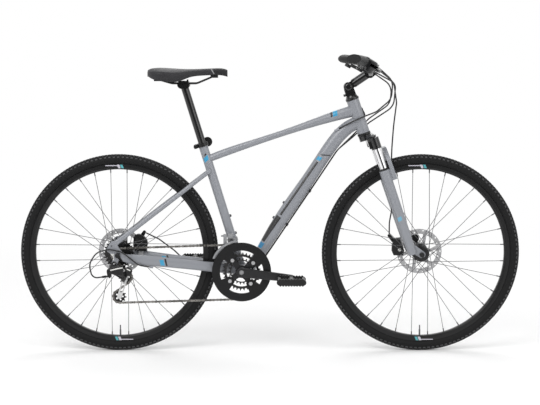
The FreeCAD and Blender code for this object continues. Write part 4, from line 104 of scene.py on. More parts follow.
# Wheels
FRONT_HUB = sum(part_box("front_tyre"), Vector()) / 2
REAR_HUB = sum(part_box("rear_tyre"), Vector()) / 2
TYRE_LOW, TYRE_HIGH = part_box("front_tyre")
TYRE_RADIUS = (TYRE_HIGH.z - TYRE_LOW.z) / 2
TYRE_WIDTH = TYRE_HIGH.y - TYRE_LOW.y
RIM_LOW, RIM_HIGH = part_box("front_rim")
RIM_RADIUS = (RIM_HIGH.z - RIM_LOW.z) / 2


# Shader helpers

def new_material(name, colour, roughness, metallic=0.0):
    """A plain Principled material whose other nodes are added by its maker."""
    material = bpy.data.materials.new(name)
    material.use_nodes = True
    shader = material.node_tree.nodes["Principled BSDF"]
    shader.inputs["Base Color"].default_value = (*colour, 1.0)
    shader.inputs["Roughness"].default_value = roughness
    shader.inputs["Metallic"].default_value = metallic
    return material, material.node_tree, shader


def add(tree, kind, **settings):
    """A node with its settings; the key input_1 sets the input of that number."""
    made = tree.nodes.new(kind)
    for key, value in settings.items():
        if key.startswith("input_"):
            made.inputs[int(key[6:])].default_value = value
        else:
            setattr(made, key, value)
    return made


def shader_group(name, inputs, outputs):
    """An empty shader node group with named sockets."""
    tree = bpy.data.node_groups.new(name, "ShaderNodeTree")
    for label, kind, value in inputs:
        socket = tree.interface.new_socket(label, in_out="INPUT", socket_type=kind)
        socket.default_value = value
    for label, kind in outputs:
        tree.interface.new_socket(label, in_out="OUTPUT", socket_type=kind)
    return tree, tree.nodes.new("NodeGroupInput"), tree.nodes.new("NodeGroupOutput")


def grain_group():
    """Fine grain: a height for bumps and a roughness that wanders between two values."""
    tree, given, result = shader_group("fine_grain", [
        ("Scale", "NodeSocketFloat", 300.0), ("Rough Low", "NodeSocketFloat", 0.35),
        ("Rough High", "NodeSocketFloat", 0.5)], [
        ("Height", "NodeSocketFloat"), ("Roughness", "NodeSocketFloat")])
    place = add(tree, "ShaderNodeTexCoord")
    noise = add(tree, "ShaderNodeTexNoise", noise_dimensions="3D")
    noise.inputs["Detail"].default_value = 3.0
    spread = add(tree, "ShaderNodeMapRange")
    spread.inputs["From Min"].default_value = 0.3
    spread.inputs["From Max"].default_value = 0.7
    tree.links.new(place.outputs["Object"], noise.inputs["Vector"])
    tree.links.new(given.outputs["Scale"], noise.inputs["Scale"])
    tree.links.new(noise.outputs["Fac"], spread.inputs["Value"])
    tree.links.new(given.outputs["Rough Low"], spread.inputs["To Min"])
    tree.links.new(given.outputs["Rough High"], spread.inputs["To Max"])
    tree.links.new(noise.outputs["Fac"], result.inputs["Height"])
    tree.links.new(spread.outputs["Result"], result.inputs["Roughness"])
    return tree


def block_group():
    """The mask of a painted block: a slanted rectangle in the side view, on both sides of the part."""
    tree, given, result = shader_group("painted_block", [
        ("Centre", "NodeSocketVector", (0, 0, 0)), ("Along", "NodeSocketVector", (1, 0, 0)),
        ("Half Length", "NodeSocketFloat", 0.01), ("Half Width", "NodeSocketFloat", 0.01),
        ("Slant", "NodeSocketFloat", 0.0), ("Softness", "NodeSocketFloat", 0.0004)], [
        ("Mask", "NodeSocketFloat")])
    place = add(tree, "ShaderNodeTexCoord")
    offset = add(tree, "ShaderNodeVectorMath", operation="SUBTRACT")
    along = add(tree, "ShaderNodeVectorMath", operation="DOT_PRODUCT")
    side = add(tree, "ShaderNodeVectorMath", operation="CROSS_PRODUCT", input_1=(0, 1, 0))
    across = add(tree, "ShaderNodeVectorMath", operation="DOT_PRODUCT")
    slanted = add(tree, "ShaderNodeMath", operation="MULTIPLY_ADD")
    tree.links.new(place.outputs["Object"], offset.inputs[0])
    tree.links.new(given.outputs["Centre"], offset.inputs[1])
    tree.links.new(offset.outputs[0], along.inputs[0])
    tree.links.new(given.outputs["Along"], along.inputs[1])
    tree.links.new(given.outputs["Along"], side.inputs[0])
    tree.links.new(offset.outputs[0], across.inputs[0])
    tree.links.new(side.outputs[0], across.inputs[1])
    tree.links.new(across.outputs["Value"], slanted.inputs[0])
    tree.links.new(given.outputs["Slant"], slanted.inputs[1])
    tree.links.new(along.outputs["Value"], slanted.inputs[2])
    masks = []
    for distance, limit in ((slanted.outputs[0], "Half Length"), (across.outputs["Value"], "Half Width")):
        size = add(tree, "ShaderNodeMath", operation="ABSOLUTE")
        outer = add(tree, "ShaderNodeMath", operation="ADD")
        edge = add(tree, "ShaderNodeMapRange", interpolation_type="SMOOTHSTEP")
        edge.inputs["To Min"].default_value = 1.0
        edge.inputs["To Max"].default_value = 0.0
        tree.links.new(distance, size.inputs[0])
        tree.links.new(given.outputs[limit], outer.inputs[0])
        tree.links.new(given.outputs["Softness"], outer.inputs[1])
        tree.links.new(size.outputs[0], edge.inputs["Value"])
        tree.links.new(given.outputs[limit], edge.inputs["From Min"])
        tree.links.new(outer.outputs[0], edge.inputs["From Max"])
        masks.append(edge.outputs["Result"])
    both = add(tree, "ShaderNodeMath", operation="MULTIPLY")
    tree.links.new(masks[0], both.inputs[0])
    tree.links.new(masks[1], both.inputs[1])
    tree.links.new(both.outputs[0], result.inputs["Mask"])
    return tree


GRAIN = grain_group()
BLOCK = block_group()


def use_grain(tree, shader, scale, low, high, bump):
    """Places the fine grain in a material: its roughness, and a bump of that strength."""
    grain = add(tree, "ShaderNodeGroup", node_tree=GRAIN)
    grain.inputs["Scale"].default_value = scale
    grain.inputs["Rough Low"].default_value = low
    grain.inputs["Rough High"].default_value = high
    tree.links.new(grain.outputs["Roughness"], shader.inputs["Roughness"])
    if bump:
        relief = add(tree, "ShaderNodeBump")
        relief.inputs["Strength"].default_value = bump
        relief.inputs["Distance"].default_value = BUMP_DEPTH
        tree.links.new(grain.outputs["Height"], relief.inputs["Height"])
        tree.links.new(relief.outputs["Normal"], shader.inputs["Normal"])


def paint_blocks(tree, shader, ground, blocks):
    """Lays blocks over the ground colour: each a colour, centre, direction, half sizes and slant."""
    colour = None
    for paint, centre, along, half_length, half_width, slant in blocks:
        mask = add(tree, "ShaderNodeGroup", node_tree=BLOCK)
        mask.inputs["Centre"].default_value = centre
        mask.inputs["Along"].default_value = Vector(along).normalized()
        mask.inputs["Half Length"].default_value = half_length
        mask.inputs["Half Width"].default_value = half_width
        mask.inputs["Slant"].default_value = slant
        mix = add(tree, "ShaderNodeMix", data_type="RGBA")
        mix.inputs[6].default_value = (*ground, 1.0)
        mix.inputs[7].default_value = (*paint, 1.0)
        tree.links.new(mask.outputs["Mask"], mix.inputs[0])
        if colour is not None:
            tree.links.new(colour, mix.inputs[6])
        colour = mix.outputs[2]
    tree.links.new(colour, shader.inputs["Base Color"])


def plain(name, colour, low, high, scale=300.0, bump=0.0, metallic=0.0, coat=0.0, specular=0.5):
    """A finish with grain in its roughness."""
    material, tree, shader = new_material(name, colour, low, metallic)
    shader.inputs["Coat Weight"].default_value = coat
    shader.inputs["Specular IOR Level"].default_value = specular
    use_grain(tree, shader, scale, low, high, bump)
    return material


# Finishes of this bicycle

def side_point(x, z):
    """A place in the side view, in metres."""
    return (x, 0.0, z)


TOP_TUBE_WAY = (0.949, 0.0, 0.316)
SEAT_TUBE_WAY = (-0.2957, 0.0, 0.9553)
DOWN_TUBE_WAY = (0.60, 0.0, 0.80)
LONG_STRIPE_WAY = (0.57, 0.0, 0.822)
STAY_WAY = (-0.998, 0.0, 0.03)
LEG_WAY = (0.31, 0.0, -0.95)
LEVEL_WAY = (1, 0, 0)
RIM_MIDDLE = RIM_RADIUS - 0.009
RIM_BLOCKS = [
    # colour, forward of the hub, out from the rim's middle, half length, half width, slant
    (RIM_TEAL, 0.012, 0.0, 0.0040, 0.0062, 0.4),
    (RIM_WHITE, 0.001, 0.0, 0.0042, 0.0062, 0.4),
    (RIM_WHITE, -0.024, 0.003, 0.022, 0.0013, 0.0),
]


def satin_paint(name, blocks):
    """Satin grey paint under a thin clear coat, with blocks of other colours."""
    material, tree, shader = new_material(name, GREY, 0.36)
    use_grain(tree, shader, 250.0, 0.34, 0.38, 0.0)
    shader.inputs["Coat Weight"].default_value = 0.25
    shader.inputs["Coat Roughness"].default_value = 0.18
    paint_blocks(tree, shader, GREY, blocks)
    return material


def grey_paint():
    """The frame's paint with its blue and black blocks and a silver one at the rear dropout."""
    return satin_paint("grey_paint", [
        # colour, centre, direction, half length, half width, slant
        (BLUE, side_point(0.2286, 0.845), TOP_TUBE_WAY, 0.0080, 0.0105, -0.25),
        (INK, side_point(0.2157, 0.8405), TOP_TUBE_WAY, 0.0032, 0.0085, -0.25),
        (BLUE, side_point(-0.2246, 0.684), SEAT_TUBE_WAY, 0.0080, 0.0085, 0.5),
        (INK, side_point(-0.2275, 0.6985), SEAT_TUBE_WAY, 0.0026, 0.0040, 0.5),
        (INK, side_point(0.1015, 0.580), LONG_STRIPE_WAY, 0.114, 0.0036, 0.0),
        (INK, side_point(0.0020, 0.4380), LONG_STRIPE_WAY, 0.052, 0.0085, 0.0),
        (DEEP_BLUE, side_point(-0.0370, 0.3815), DOWN_TUBE_WAY, 0.0105, 0.0125, 0.2),
        (BLUE, side_point(0.1725, 0.6855), DOWN_TUBE_WAY, 0.0068, 0.0070, 0.3),
        (INK, side_point(0.1955, 0.6975), (1, 0, -0.06), 0.0170, 0.0017, 0.0),
        (BLUE, side_point(-0.3788, 0.3215), STAY_WAY, 0.0070, 0.0100, 0.25),
        (INK, side_point(-0.3655, 0.3225), STAY_WAY, 0.0030, 0.0125, 0.25),
        (SILVER, side_point(-0.5535, 0.3435), (0, 0, 1), 0.0110, 0.0068, 0.0),
    ])


def leg_paint():
    """The fork's grey paint with one pale blue block on each leg."""
    return satin_paint("leg_paint", [(PALE_BLUE, side_point(0.4530, 0.478), LEG_WAY, 0.0070, 0.0070, 0.2)])


def rim_finish(name, hub):
    """Black rim with a teal and a white block and a white line at its top and bottom."""
    material, tree, shader = new_material(name, BLACK, 0.32, 0.0)
    use_grain(tree, shader, 700.0, 0.28, 0.36, 0.0)
    shader.inputs["Specular IOR Level"].default_value = 0.35
    blocks = []
    for sign in (1, -1):
        for paint, forward, out, half_length, half_width, slant in RIM_BLOCKS:
            spot = side_point(hub.x + forward * sign, hub.z + (RIM_MIDDLE + out) * sign)
            blocks.append((paint, spot, LEVEL_WAY, half_length, half_width, slant))
    paint_blocks(tree, shader, BLACK, blocks)
    return material


def brushed(name, colour, low, high):
    """Bare metal."""
    return plain(name, colour, low, high, 500.0, 0.0, 1.0)


FINISH = {
    "frame": grey_paint(),
    "fork_lowers": leg_paint(),
    "front_rim": rim_finish("front_rim_black", FRONT_HUB),
    "rear_rim": rim_finish("rear_rim_black", REAR_HUB),
}

# Name, colour, lowest and highest roughness, scale of the grain, bump, metal
SATIN_BLACK = plain("satin_black", BLACK, 0.30, 0.40, 600.0, specular=0.4)
GLOSS_BLACK = plain("gloss_black", (0.006, 0.006, 0.0064), 0.16, 0.24, 600.0, coat=0.3)
FORGED_BLACK = plain("forged_black", (0.010, 0.010, 0.011), 0.34, 0.46, 800.0, 0.10, specular=0.4)
SATIN_SILVER = brushed("satin_silver", (0.60, 0.60, 0.61), 0.26, 0.38)
CAGE_SILVER = plain("cage_silver", (0.60, 0.60, 0.60), 0.34, 0.44, 500.0, 0.0, 0.45)
STEEL = brushed("brushed_steel", (0.40, 0.40, 0.41), 0.30, 0.42)
ROTOR_STEEL = plain("rotor_steel", (0.50, 0.50, 0.51), 0.30, 0.42, 500.0, 0.0, 0.6)
DARK_STEEL = brushed("dark_steel", (0.055, 0.054, 0.054), 0.36, 0.46)
SPOKE_STEEL = brushed("spoke_steel", (0.13, 0.13, 0.135), 0.26, 0.34)
CHROME = brushed("leg_chrome", (0.78, 0.78, 0.79), 0.05, 0.09)
TYRE_BLACK = plain("tyre_black", RUBBER, 0.60, 0.76, 500.0, 0.25, specular=0.22)
# Tread knobs painted lighter than the casing: a painted highlight on the knobs
TREAD_HIGHLIGHT_BLACK = plain("tread_painted_highlight", (0.024, 0.024, 0.025), 0.56, 0.70, 500.0, 0.2, specular=0.3)
# Shoulder knobs painted lighter still: a painted highlight where their outer faces catch the light
SHOULDER_HIGHLIGHT_BLACK = plain("shoulder_painted_highlight", (0.048, 0.048, 0.050), 0.50, 0.62, 500.0, 0.2, specular=0.4)
GRIP_BLACK = plain("grip_black", (0.010, 0.010, 0.0105), 0.52, 0.66, 1400.0, 0.5, specular=0.3)
MOULDED_BLACK = plain("moulded_black", (0.008, 0.008, 0.0085), 0.38, 0.52, 1500.0, 0.2, specular=0.35)
GUARD_BLACK = plain("guard_black", (0.0055, 0.0055, 0.006), 0.36, 0.44, 1500.0, 0.1, specular=0.3)
POD_GREY = plain("pod_grey", (0.016, 0.016, 0.017), 0.26, 0.36, 1500.0, 0.1, specular=0.5)
HOUSING_BLACK = plain("housing_black", (0.012, 0.012, 0.013), 0.26, 0.34, 700.0)
BOLT_STEEL = brushed("bolt_steel", (0.52, 0.52, 0.53), 0.24, 0.34)
SHIFT_GREY = plain("shift_grey", (0.26, 0.265, 0.275), 0.36, 0.46, 500.0, 0.0, 0.3)


def chain_finish():
    """Oiled links, each a little lighter or darker than the next."""
    material, tree, shader = new_material("chain_steel", CHAIN_MIDDLE, 0.40, 1.0)
    use_grain(tree, shader, 500.0, 0.34, 0.48, 0.0)
    links = add(tree, "ShaderNodeNewGeometry")
    shade = add(tree, "ShaderNodeMix", data_type="RGBA")
    shade.inputs[6].default_value = (*CHAIN_DARK, 1.0)
    shade.inputs[7].default_value = (*CHAIN_LIGHT, 1.0)
    tree.links.new(links.outputs["Random Per Island"], shade.inputs[0])
    tree.links.new(shade.outputs[2], shader.inputs["Base Color"])
    return material


def saddle_finish():
    """Fine-grained cover with a darker nose and one grey slanted stripe."""
    material, tree, shader = new_material("saddle_black", SADDLE_GREY, 0.5)
    shader.inputs["Specular IOR Level"].default_value = 0.3
    use_grain(tree, shader, 2200.0, 0.46, 0.60, 0.4)
    paint_blocks(tree, shader, SADDLE_GREY, [
        (NOSE_BLACK, side_point(-0.172, 0.985), LEVEL_WAY, 0.0285, 0.060, -0.5),
        (STRIPE_GREY, side_point(-0.2005, 0.9905), (0.5, 0, -0.87), 0.0100, 0.0019, 0.0)])
    return material


CHAIN_STEEL = chain_finish()
SADDLE_BLACK = saddle_finish()

BY_SLOT = {
    "frame_paint": FINISH["frame"], "black_alloy": SATIN_BLACK, "silver_alloy": SATIN_SILVER,
    "bare_steel": STEEL, "stainless_wire": SPOKE_STEEL, "chain_steel": CHAIN_STEEL, "chromed_tube": CHROME,
    "tyre_rubber": TYRE_BLACK, "grip_rubber": GRIP_BLACK, "black_plastic": MOULDED_BLACK,
    "saddle_skin": SADDLE_BLACK, "cable_housing": HOUSING_BLACK,
}
FINISH.update({
    "stem_arm": GLOSS_BLACK, "stem_base": GLOSS_BLACK, "handlebar": GLOSS_BLACK, "seatpost": GLOSS_BLACK,
    "fork_crown": GLOSS_BLACK, "crank_right": FORGED_BLACK, "crank_left": FORGED_BLACK,
    "chain_guard": GUARD_BLACK, "chainrings": DARK_STEEL, "cassette": DARK_STEEL,
    "derailleur_cage": CAGE_SILVER,
    "front_caliper_arm": SATIN_BLACK, "rear_caliper_arm": SATIN_BLACK, "left_brake_lever": SATIN_BLACK,
    "right_brake_lever": SATIN_BLACK, "front_qr_lever": SATIN_BLACK, "rear_qr_lever": SATIN_BLACK,
    "seat_qr_lever": SATIN_BLACK, "front_axle": SATIN_BLACK, "rear_axle": SATIN_BLACK,
    "derailleur_b_knuckle": MOULDED_BLACK, "bottom_bracket": SATIN_BLACK, "frame_fittings": SATIN_BLACK,
    "front_derailleur_cage": SHIFT_GREY, "front_rotor": ROTOR_STEEL, "rear_rotor": ROTOR_STEEL,
    "control_pods": POD_GREY, "front_derailleur_body": SHIFT_GREY,
})


def smooth_tree():
    """Joins a solid's loose faces, shades them smooth and keeps the edges past the crease angle sharp."""
    tree = bpy.data.node_groups.new("smooth_solid", "GeometryNodeTree")
    tree.interface.new_socket("Geometry", in_out="INPUT", socket_type="NodeSocketGeometry")
    crease = tree.interface.new_socket("Crease Angle", in_out="INPUT", socket_type="NodeSocketFloat")
    crease.default_value = CREASE
    tree.interface.new_socket("Geometry", in_out="OUTPUT", socket_type="NodeSocketGeometry")
    given = tree.nodes.new("NodeGroupInput")
    result = tree.nodes.new("NodeGroupOutput")
    merge = add(tree, "GeometryNodeMergeByDistance")
    merge.inputs["Distance"].default_value = WELD
    angle = add(tree, "GeometryNodeInputMeshEdgeAngle")
    sharp = add(tree, "FunctionNodeCompare", data_type="FLOAT", operation="GREATER_THAN")
    faces = add(tree, "GeometryNodeSetShadeSmooth", domain="FACE")
    edges = add(tree, "GeometryNodeSetShadeSmooth", domain="EDGE")
    edges.inputs["Shade Smooth"].default_value = False
    tree.links.new(given.outputs["Geometry"], merge.inputs["Geometry"])
    tree.links.new(merge.outputs["Geometry"], faces.inputs["Geometry"])
    tree.links.new(faces.outputs["Geometry"], edges.inputs["Geometry"])
    tree.links.new(angle.outputs["Unsigned Angle"], sharp.inputs[0])
    tree.links.new(given.outputs["Crease Angle"], sharp.inputs[1])
    tree.links.new(sharp.outputs["Result"], edges.inputs["Selection"])
    tree.links.new(edges.outputs["Geometry"], result.inputs["Geometry"])
    return tree


SMOOTH = smooth_tree()


def dress(node, material):
    """Gives a solid its finish and smooth shading."""
    node.data.materials.clear()
    node.data.materials.append(material)
    shading = node.modifiers.new("smooth_solid", "NODES")
    shading.node_group = SMOOTH


for row in frame["record"]["subparts"]:
    name = row["node"]
    dress(nodes[name], FINISH.get(name, BY_SLOT[row["material_slot"]]))


def second_finish(node, material, chosen):
    """Gives the faces whose middle and normal pass the test another finish."""
    mesh = nodes[node].data
    mesh.materials.append(material)
    for face in mesh.polygons:
        if chosen(face.center, face.normal):
            face.material_index = 1


GUARD_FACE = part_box("chain_guard")[0].y
HANGER = Vector((-0.5465, 0, 0.319))
HANGER_BOLT_RADIUS = 0.006
OUTWARD = -0.9


def ring_bolt_head(middle, normal):
    """A face of the bolts that stand past the guard."""
    return middle.y < GUARD_FACE


def hanger_bolt_head(middle, normal):
    """An outward face of the bolt in the hanger."""
    away = math.hypot(middle.x - HANGER.x, middle.z - HANGER.z)
    return normal.y < OUTWARD and away < HANGER_BOLT_RADIUS


second_finish("chainrings", BOLT_STEEL, ring_bolt_head)
second_finish("derailleur_b_knuckle", BOLT_STEEL, hanger_bolt_head)


# Mesh helpers

def shown(name, mesh):
    """A new piece at the origin with that mesh."""
    piece = bpy.data.objects.new(name, mesh)
    scene.collection.objects.link(piece)
    return piece


def merged_copy(node, name):
    """A copy of a solid's mesh with its loose faces joined."""
    mesh = nodes[node].data.copy()
    mesh.name = name
    shape = bmesh.new()
    shape.from_mesh(mesh)
    bmesh.ops.remove_doubles(shape, verts=shape.verts, dist=WELD)
    for face in shape.faces:
        face.smooth = True
    shape.to_mesh(mesh)
    shape.free()
    return mesh


def keep_islands(mesh, wanted):
    """Keeps the loose parts of a mesh whose box passes the test."""
    shape = bmesh.new()
    shape.from_mesh(mesh)
    left = set(shape.verts)
    unwanted = []
    while left:
        island = [left.pop()]
        for vertex in island:
            for edge in vertex.link_edges:
                other = edge.other_vert(vertex)
                if other in left:
                    left.remove(other)
                    island.append(other)
        places = np.array([vertex.co for vertex in island])
        if not wanted(places.min(0), places.max(0)):
            unwanted.extend(island)
    bmesh.ops.delete(shape, geom=unwanted, context="VERTS")
    shape.to_mesh(mesh)
    shape.free()


def sliced(mesh, point, normal, count=0, step=0.0, clear_inner=False, clear_outer=False):
    """Cuts a mesh across at a plane, and again at each step along its normal, so that it can bend there."""
    shape = bmesh.new()
    shape.from_mesh(mesh)
    normal = Vector(normal).normalized()
    for index in range(count + 1):
        everything = list(shape.verts) + list(shape.edges) + list(shape.faces)
        bmesh.ops.bisect_plane(shape, geom=everything, plane_co=Vector(point) + normal * step * index,
                               plane_no=normal, clear_inner=clear_inner, clear_outer=clear_outer)
    bmesh.ops.holes_fill(shape, edges=[edge for edge in shape.edges if edge.is_boundary])
    shape.to_mesh(mesh)
    shape.free()
    return mesh


def set_inputs(modifier, **values):
    """Sets a modifier's named inputs by their sockets' identifiers."""
    for item in modifier.node_group.interface.items_tree:
        if item.item_type == "SOCKET" and item.in_out == "INPUT" and item.name in values:
            modifier[item.identifier] = values[item.name]


def converted(piece):
    """Turns a piece and its node trees into a plain mesh."""
    piece.update_tag()
    bpy.context.view_layer.update()
    depsgraph = bpy.context.evaluated_depsgraph_get()
    mesh = bpy.data.meshes.new_from_object(piece.evaluated_get(depsgraph))
    piece.modifiers.clear()
    piece.data = mesh
    return piece


def geometry_tree(name, inputs):
    """An empty geometry node tree with named inputs."""
    tree = bpy.data.node_groups.new(name, "GeometryNodeTree")
    tree.interface.new_socket("Geometry", in_out="INPUT", socket_type="NodeSocketGeometry")
    for label, kind in inputs:
        tree.interface.new_socket(label, in_out="INPUT", socket_type=kind)
    tree.interface.new_socket("Geometry", in_out="OUTPUT", socket_type="NodeSocketGeometry")
    return tree, tree.nodes.new("NodeGroupInput"), tree.nodes.new("NodeGroupOutput")


# Tyres

TREAD_HEIGHT = 0.0024
TREAD_SUNK = 0.0006
BLOCK_TAPER = 0.80
BEAD_DEPTH = 0.003
BEAD_WIDTH_SHARE = 0.96
CASING_ARC = math.radians(146)
TREAD_ROWS = [
    # angle from the middle, blocks round the tyre, length, width, phase, rubber (knobs painted lighter than
    # the casing as a painted highlight)
    (0.0, 192, 0.0074, 0.0052, 0.0, TREAD_HIGHLIGHT_BLACK),
    (20.0, 192, 0.0066, 0.0048, 0.5, TREAD_HIGHLIGHT_BLACK),
    (-20.0, 192, 0.0066, 0.0048, 0.5, TREAD_HIGHLIGHT_BLACK),
    (40.0, 136, 0.0070, 0.0040, 0.5, TREAD_HIGHLIGHT_BLACK),
    (-40.0, 136, 0.0070, 0.0040, 0.5, TREAD_HIGHLIGHT_BLACK),
    (57.0, 136, 0.0094, 0.0052, 0.0, SHOULDER_HIGHLIGHT_BLACK),
    (-57.0, 136, 0.0094, 0.0052, 0.0, SHOULDER_HIGHLIGHT_BLACK),
]
CASING_RADIUS = TYRE_WIDTH / 2 - TREAD_HEIGHT
CASING_RING = TYRE_RADIUS - TYRE_WIDTH / 2


def tread_tree():
    """Tapered rubber blocks in a ring, added to the casing."""
    tree, given, result = geometry_tree("tread_row", [
        ("Count", "NodeSocketInt"), ("Ring Radius", "NodeSocketFloat"), ("Side", "NodeSocketFloat"),
        ("Tilt", "NodeSocketFloat"), ("Block Size", "NodeSocketVector"), ("Phase", "NodeSocketFloat"),
        ("Centre", "NodeSocketVector"), ("Rubber", "NodeSocketMaterial")])
    index = add(tree, "GeometryNodeInputIndex")
    shifted = add(tree, "ShaderNodeMath", operation="ADD")
    share = add(tree, "ShaderNodeMath", operation="DIVIDE")
    angle = add(tree, "ShaderNodeMath", operation="MULTIPLY", input_1=2 * math.pi)
    tree.links.new(index.outputs[0], shifted.inputs[0])
    tree.links.new(given.outputs["Phase"], shifted.inputs[1])
    tree.links.new(shifted.outputs[0], share.inputs[0])
    tree.links.new(given.outputs["Count"], share.inputs[1])
    tree.links.new(share.outputs[0], angle.inputs[0])
    place = add(tree, "ShaderNodeCombineXYZ")
    for axis, operation in (("X", "COSINE"), ("Z", "SINE")):
        turned = add(tree, "ShaderNodeMath", operation=operation)
        reach = add(tree, "ShaderNodeMath", operation="MULTIPLY")
        tree.links.new(angle.outputs[0], turned.inputs[0])
        tree.links.new(turned.outputs[0], reach.inputs[0])
        tree.links.new(given.outputs["Ring Radius"], reach.inputs[1])
        tree.links.new(reach.outputs[0], place.inputs[axis])
    tree.links.new(given.outputs["Side"], place.inputs["Y"])
    moved = add(tree, "ShaderNodeVectorMath", operation="ADD")
    tree.links.new(place.outputs[0], moved.inputs[0])
    tree.links.new(given.outputs["Centre"], moved.inputs[1])
    points = add(tree, "GeometryNodePoints")
    tree.links.new(given.outputs["Count"], points.inputs["Count"])
    tree.links.new(moved.outputs[0], points.inputs["Position"])
    outward = add(tree, "ShaderNodeMath", operation="SUBTRACT", input_0=math.pi / 2)
    lean = add(tree, "ShaderNodeMath", operation="MULTIPLY", input_1=-1.0)
    turn = add(tree, "ShaderNodeCombineXYZ")
    turned = add(tree, "FunctionNodeEulerToRotation")
    tree.links.new(angle.outputs[0], outward.inputs[1])
    tree.links.new(given.outputs["Tilt"], lean.inputs[0])
    tree.links.new(lean.outputs[0], turn.inputs["X"])
    tree.links.new(outward.outputs[0], turn.inputs["Y"])
    tree.links.new(turn.outputs[0], turned.inputs[0])
    block = add(tree, "GeometryNodeMeshCone")
    block.inputs["Vertices"].default_value = 4
    block.inputs["Radius Bottom"].default_value = math.sqrt(0.5)
    block.inputs["Radius Top"].default_value = math.sqrt(0.5) * BLOCK_TAPER
    block.inputs["Depth"].default_value = 1.0
    squared = add(tree, "GeometryNodeTransform")
    squared.inputs["Rotation"].default_value = (0, 0, math.pi / 4)
    sized = add(tree, "GeometryNodeTransform")
    tree.links.new(block.outputs["Mesh"], squared.inputs["Geometry"])
    tree.links.new(squared.outputs["Geometry"], sized.inputs["Geometry"])
    tree.links.new(given.outputs["Block Size"], sized.inputs["Scale"])
    copies = add(tree, "GeometryNodeInstanceOnPoints")
    tree.links.new(points.outputs[0], copies.inputs["Points"])
    tree.links.new(sized.outputs["Geometry"], copies.inputs["Instance"])
    tree.links.new(turned.outputs[0], copies.inputs["Rotation"])
    real = add(tree, "GeometryNodeRealizeInstances")
    finish = add(tree, "GeometryNodeSetMaterial")
    joined = add(tree, "GeometryNodeJoinGeometry")
    tree.links.new(copies.outputs["Instances"], real.inputs["Geometry"])
    tree.links.new(real.outputs["Geometry"], finish.inputs["Geometry"])
    tree.links.new(given.outputs["Rubber"], finish.inputs["Material"])
    tree.links.new(given.outputs["Geometry"], joined.inputs["Geometry"])
    tree.links.new(finish.outputs["Geometry"], joined.inputs["Geometry"])
    tree.links.new(joined.outputs["Geometry"], result.inputs["Geometry"])
    return tree


def casing_mesh(name, hub, steps=180, across=30):
    """The round casing, turned about the hub, with its beads inside the rim."""
    arc = np.linspace(-CASING_ARC, CASING_ARC, across)
    reach = CASING_RING + CASING_RADIUS * np.cos(arc)
    side = CASING_RADIUS * np.sin(arc)
    bead = RIM_RADIUS - BEAD_DEPTH
    reach = np.concatenate([[bead], reach, [bead]])
    side = np.concatenate([[side[0] * BEAD_WIDTH_SHARE], side, [side[-1] * BEAD_WIDTH_SHARE]])
    turn = np.linspace(0, 2 * math.pi, steps, endpoint=False)
    places = np.stack([hub.x + np.outer(np.cos(turn), reach), np.tile(hub.y + side, (steps, 1)),
                       hub.z + np.outer(np.sin(turn), reach)], axis=-1).reshape(-1, 3)
    row = len(reach)
    faces = []
    for a in range(steps):
        b = (a + 1) % steps
        for i in range(row):
            j = (i + 1) % row
            faces.append((a * row + i, b * row + i, b * row + j, a * row + j))
    mesh = bpy.data.meshes.new(name)
    mesh.from_pydata(places.tolist(), [], faces)
    shape = bmesh.new()
    shape.from_mesh(mesh)
    bmesh.ops.recalc_face_normals(shape, faces=shape.faces)
    for face in shape.faces:
        face.smooth = True
    shape.to_mesh(mesh)
    shape.free()
    mesh.materials.append(TYRE_BLACK)
    return mesh


TREAD = tread_tree()


def treaded_tyre(name, hub, node, body):
    """Casing and tread of one wheel."""
    tyre = shown(name, casing_mesh(name, hub))
    seat = CASING_RADIUS - TREAD_SUNK
    for degrees, count, length, width, phase, rubber in TREAD_ROWS:
        tilt = math.radians(degrees)
        row = tyre.modifiers.new("tread_row", "NODES")
        row.node_group = TREAD
        set_inputs(row, **{
            "Count": count, "Ring Radius": CASING_RING + seat * math.cos(tilt),
            "Side": seat * math.sin(tilt), "Tilt": tilt,
            "Block Size": (length, width, TREAD_HEIGHT + TREAD_SUNK), "Phase": phase,
            "Centre": tuple(hub), "Rubber": rubber})
    converted(tyre)
    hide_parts(node)
    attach(tyre, body)


treaded_tyre("front_treaded_tyre", FRONT_HUB, "front_tyre", "front_wheel")
treaded_tyre("rear_treaded_tyre", REAR_HUB, "rear_tyre", "rear_wheel")


# Saddle

def padded_saddle():
    """The saddle's soft cover."""
    pad = shown("saddle_padding", merged_copy("saddle_cover", "saddle_padding"))
    pad.data.materials.clear()
    pad.data.materials.append(SADDLE_BLACK)
    shading = pad.modifiers.new("smooth_solid", "NODES")
    shading.node_group = SMOOTH
    set_inputs(shading, **{"Crease Angle": SADDLE_CREASE})
    converted(pad)
    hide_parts("saddle_cover")
    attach(pad, "seatpost")


padded_saddle()


# Cables

# Heights where a housing is cut in two, and the cuts across each bend
BAR_LOOP_CUT = 0.895
HOSE_CUT = 0.86
WIRE_CUT = 0.46
BEND_CUTS = 14
# Start and end of each bend
STEER_BEND = (0.335, 0, 0.815), (0.420, 0, 0.880)
STEM_BEND = (0, 0, 0.905), (0, 0, 0.985)
FORK_BEND = (0, 0, 0.47), (0, 0, 0.84)
# Limits along the bicycle that tell the housings apart
HEAD_X, SHIFT_LOOP_X = 0.3, -0.56
# How far from the ends of a brake cable its bend starts and ends
ARM_BEND_LEAD = 0.03
ARM_BEND_END = 0.002
WIRE_BEND_LEAD = 0.005


def housing(name, mesh):
    """A cable piece."""
    piece = shown(name, mesh)
    piece.data.materials.clear()
    piece.data.materials.append(HOUSING_BLACK)
    return piece


def bending(name, mesh, bend):
    """A cable piece, cut across many times between the start and end of its bend, with its place baked into
    its mesh.
    """
    start, end = bend
    way = Vector(end) - Vector(start)
    sliced(mesh, start, way, BEND_CUTS, way.length / BEND_CUTS)
    piece = housing(name, mesh)
    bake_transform(piece)
    return piece


def part_above(mesh, height):
    """The part of a mesh above a height."""
    return sliced(mesh, (0, 0, height), (0, 0, 1), clear_inner=True)


def part_below(mesh, height):
    """The part of a mesh below a height."""
    return sliced(mesh, (0, 0, height), (0, 0, 1), clear_outer=True)


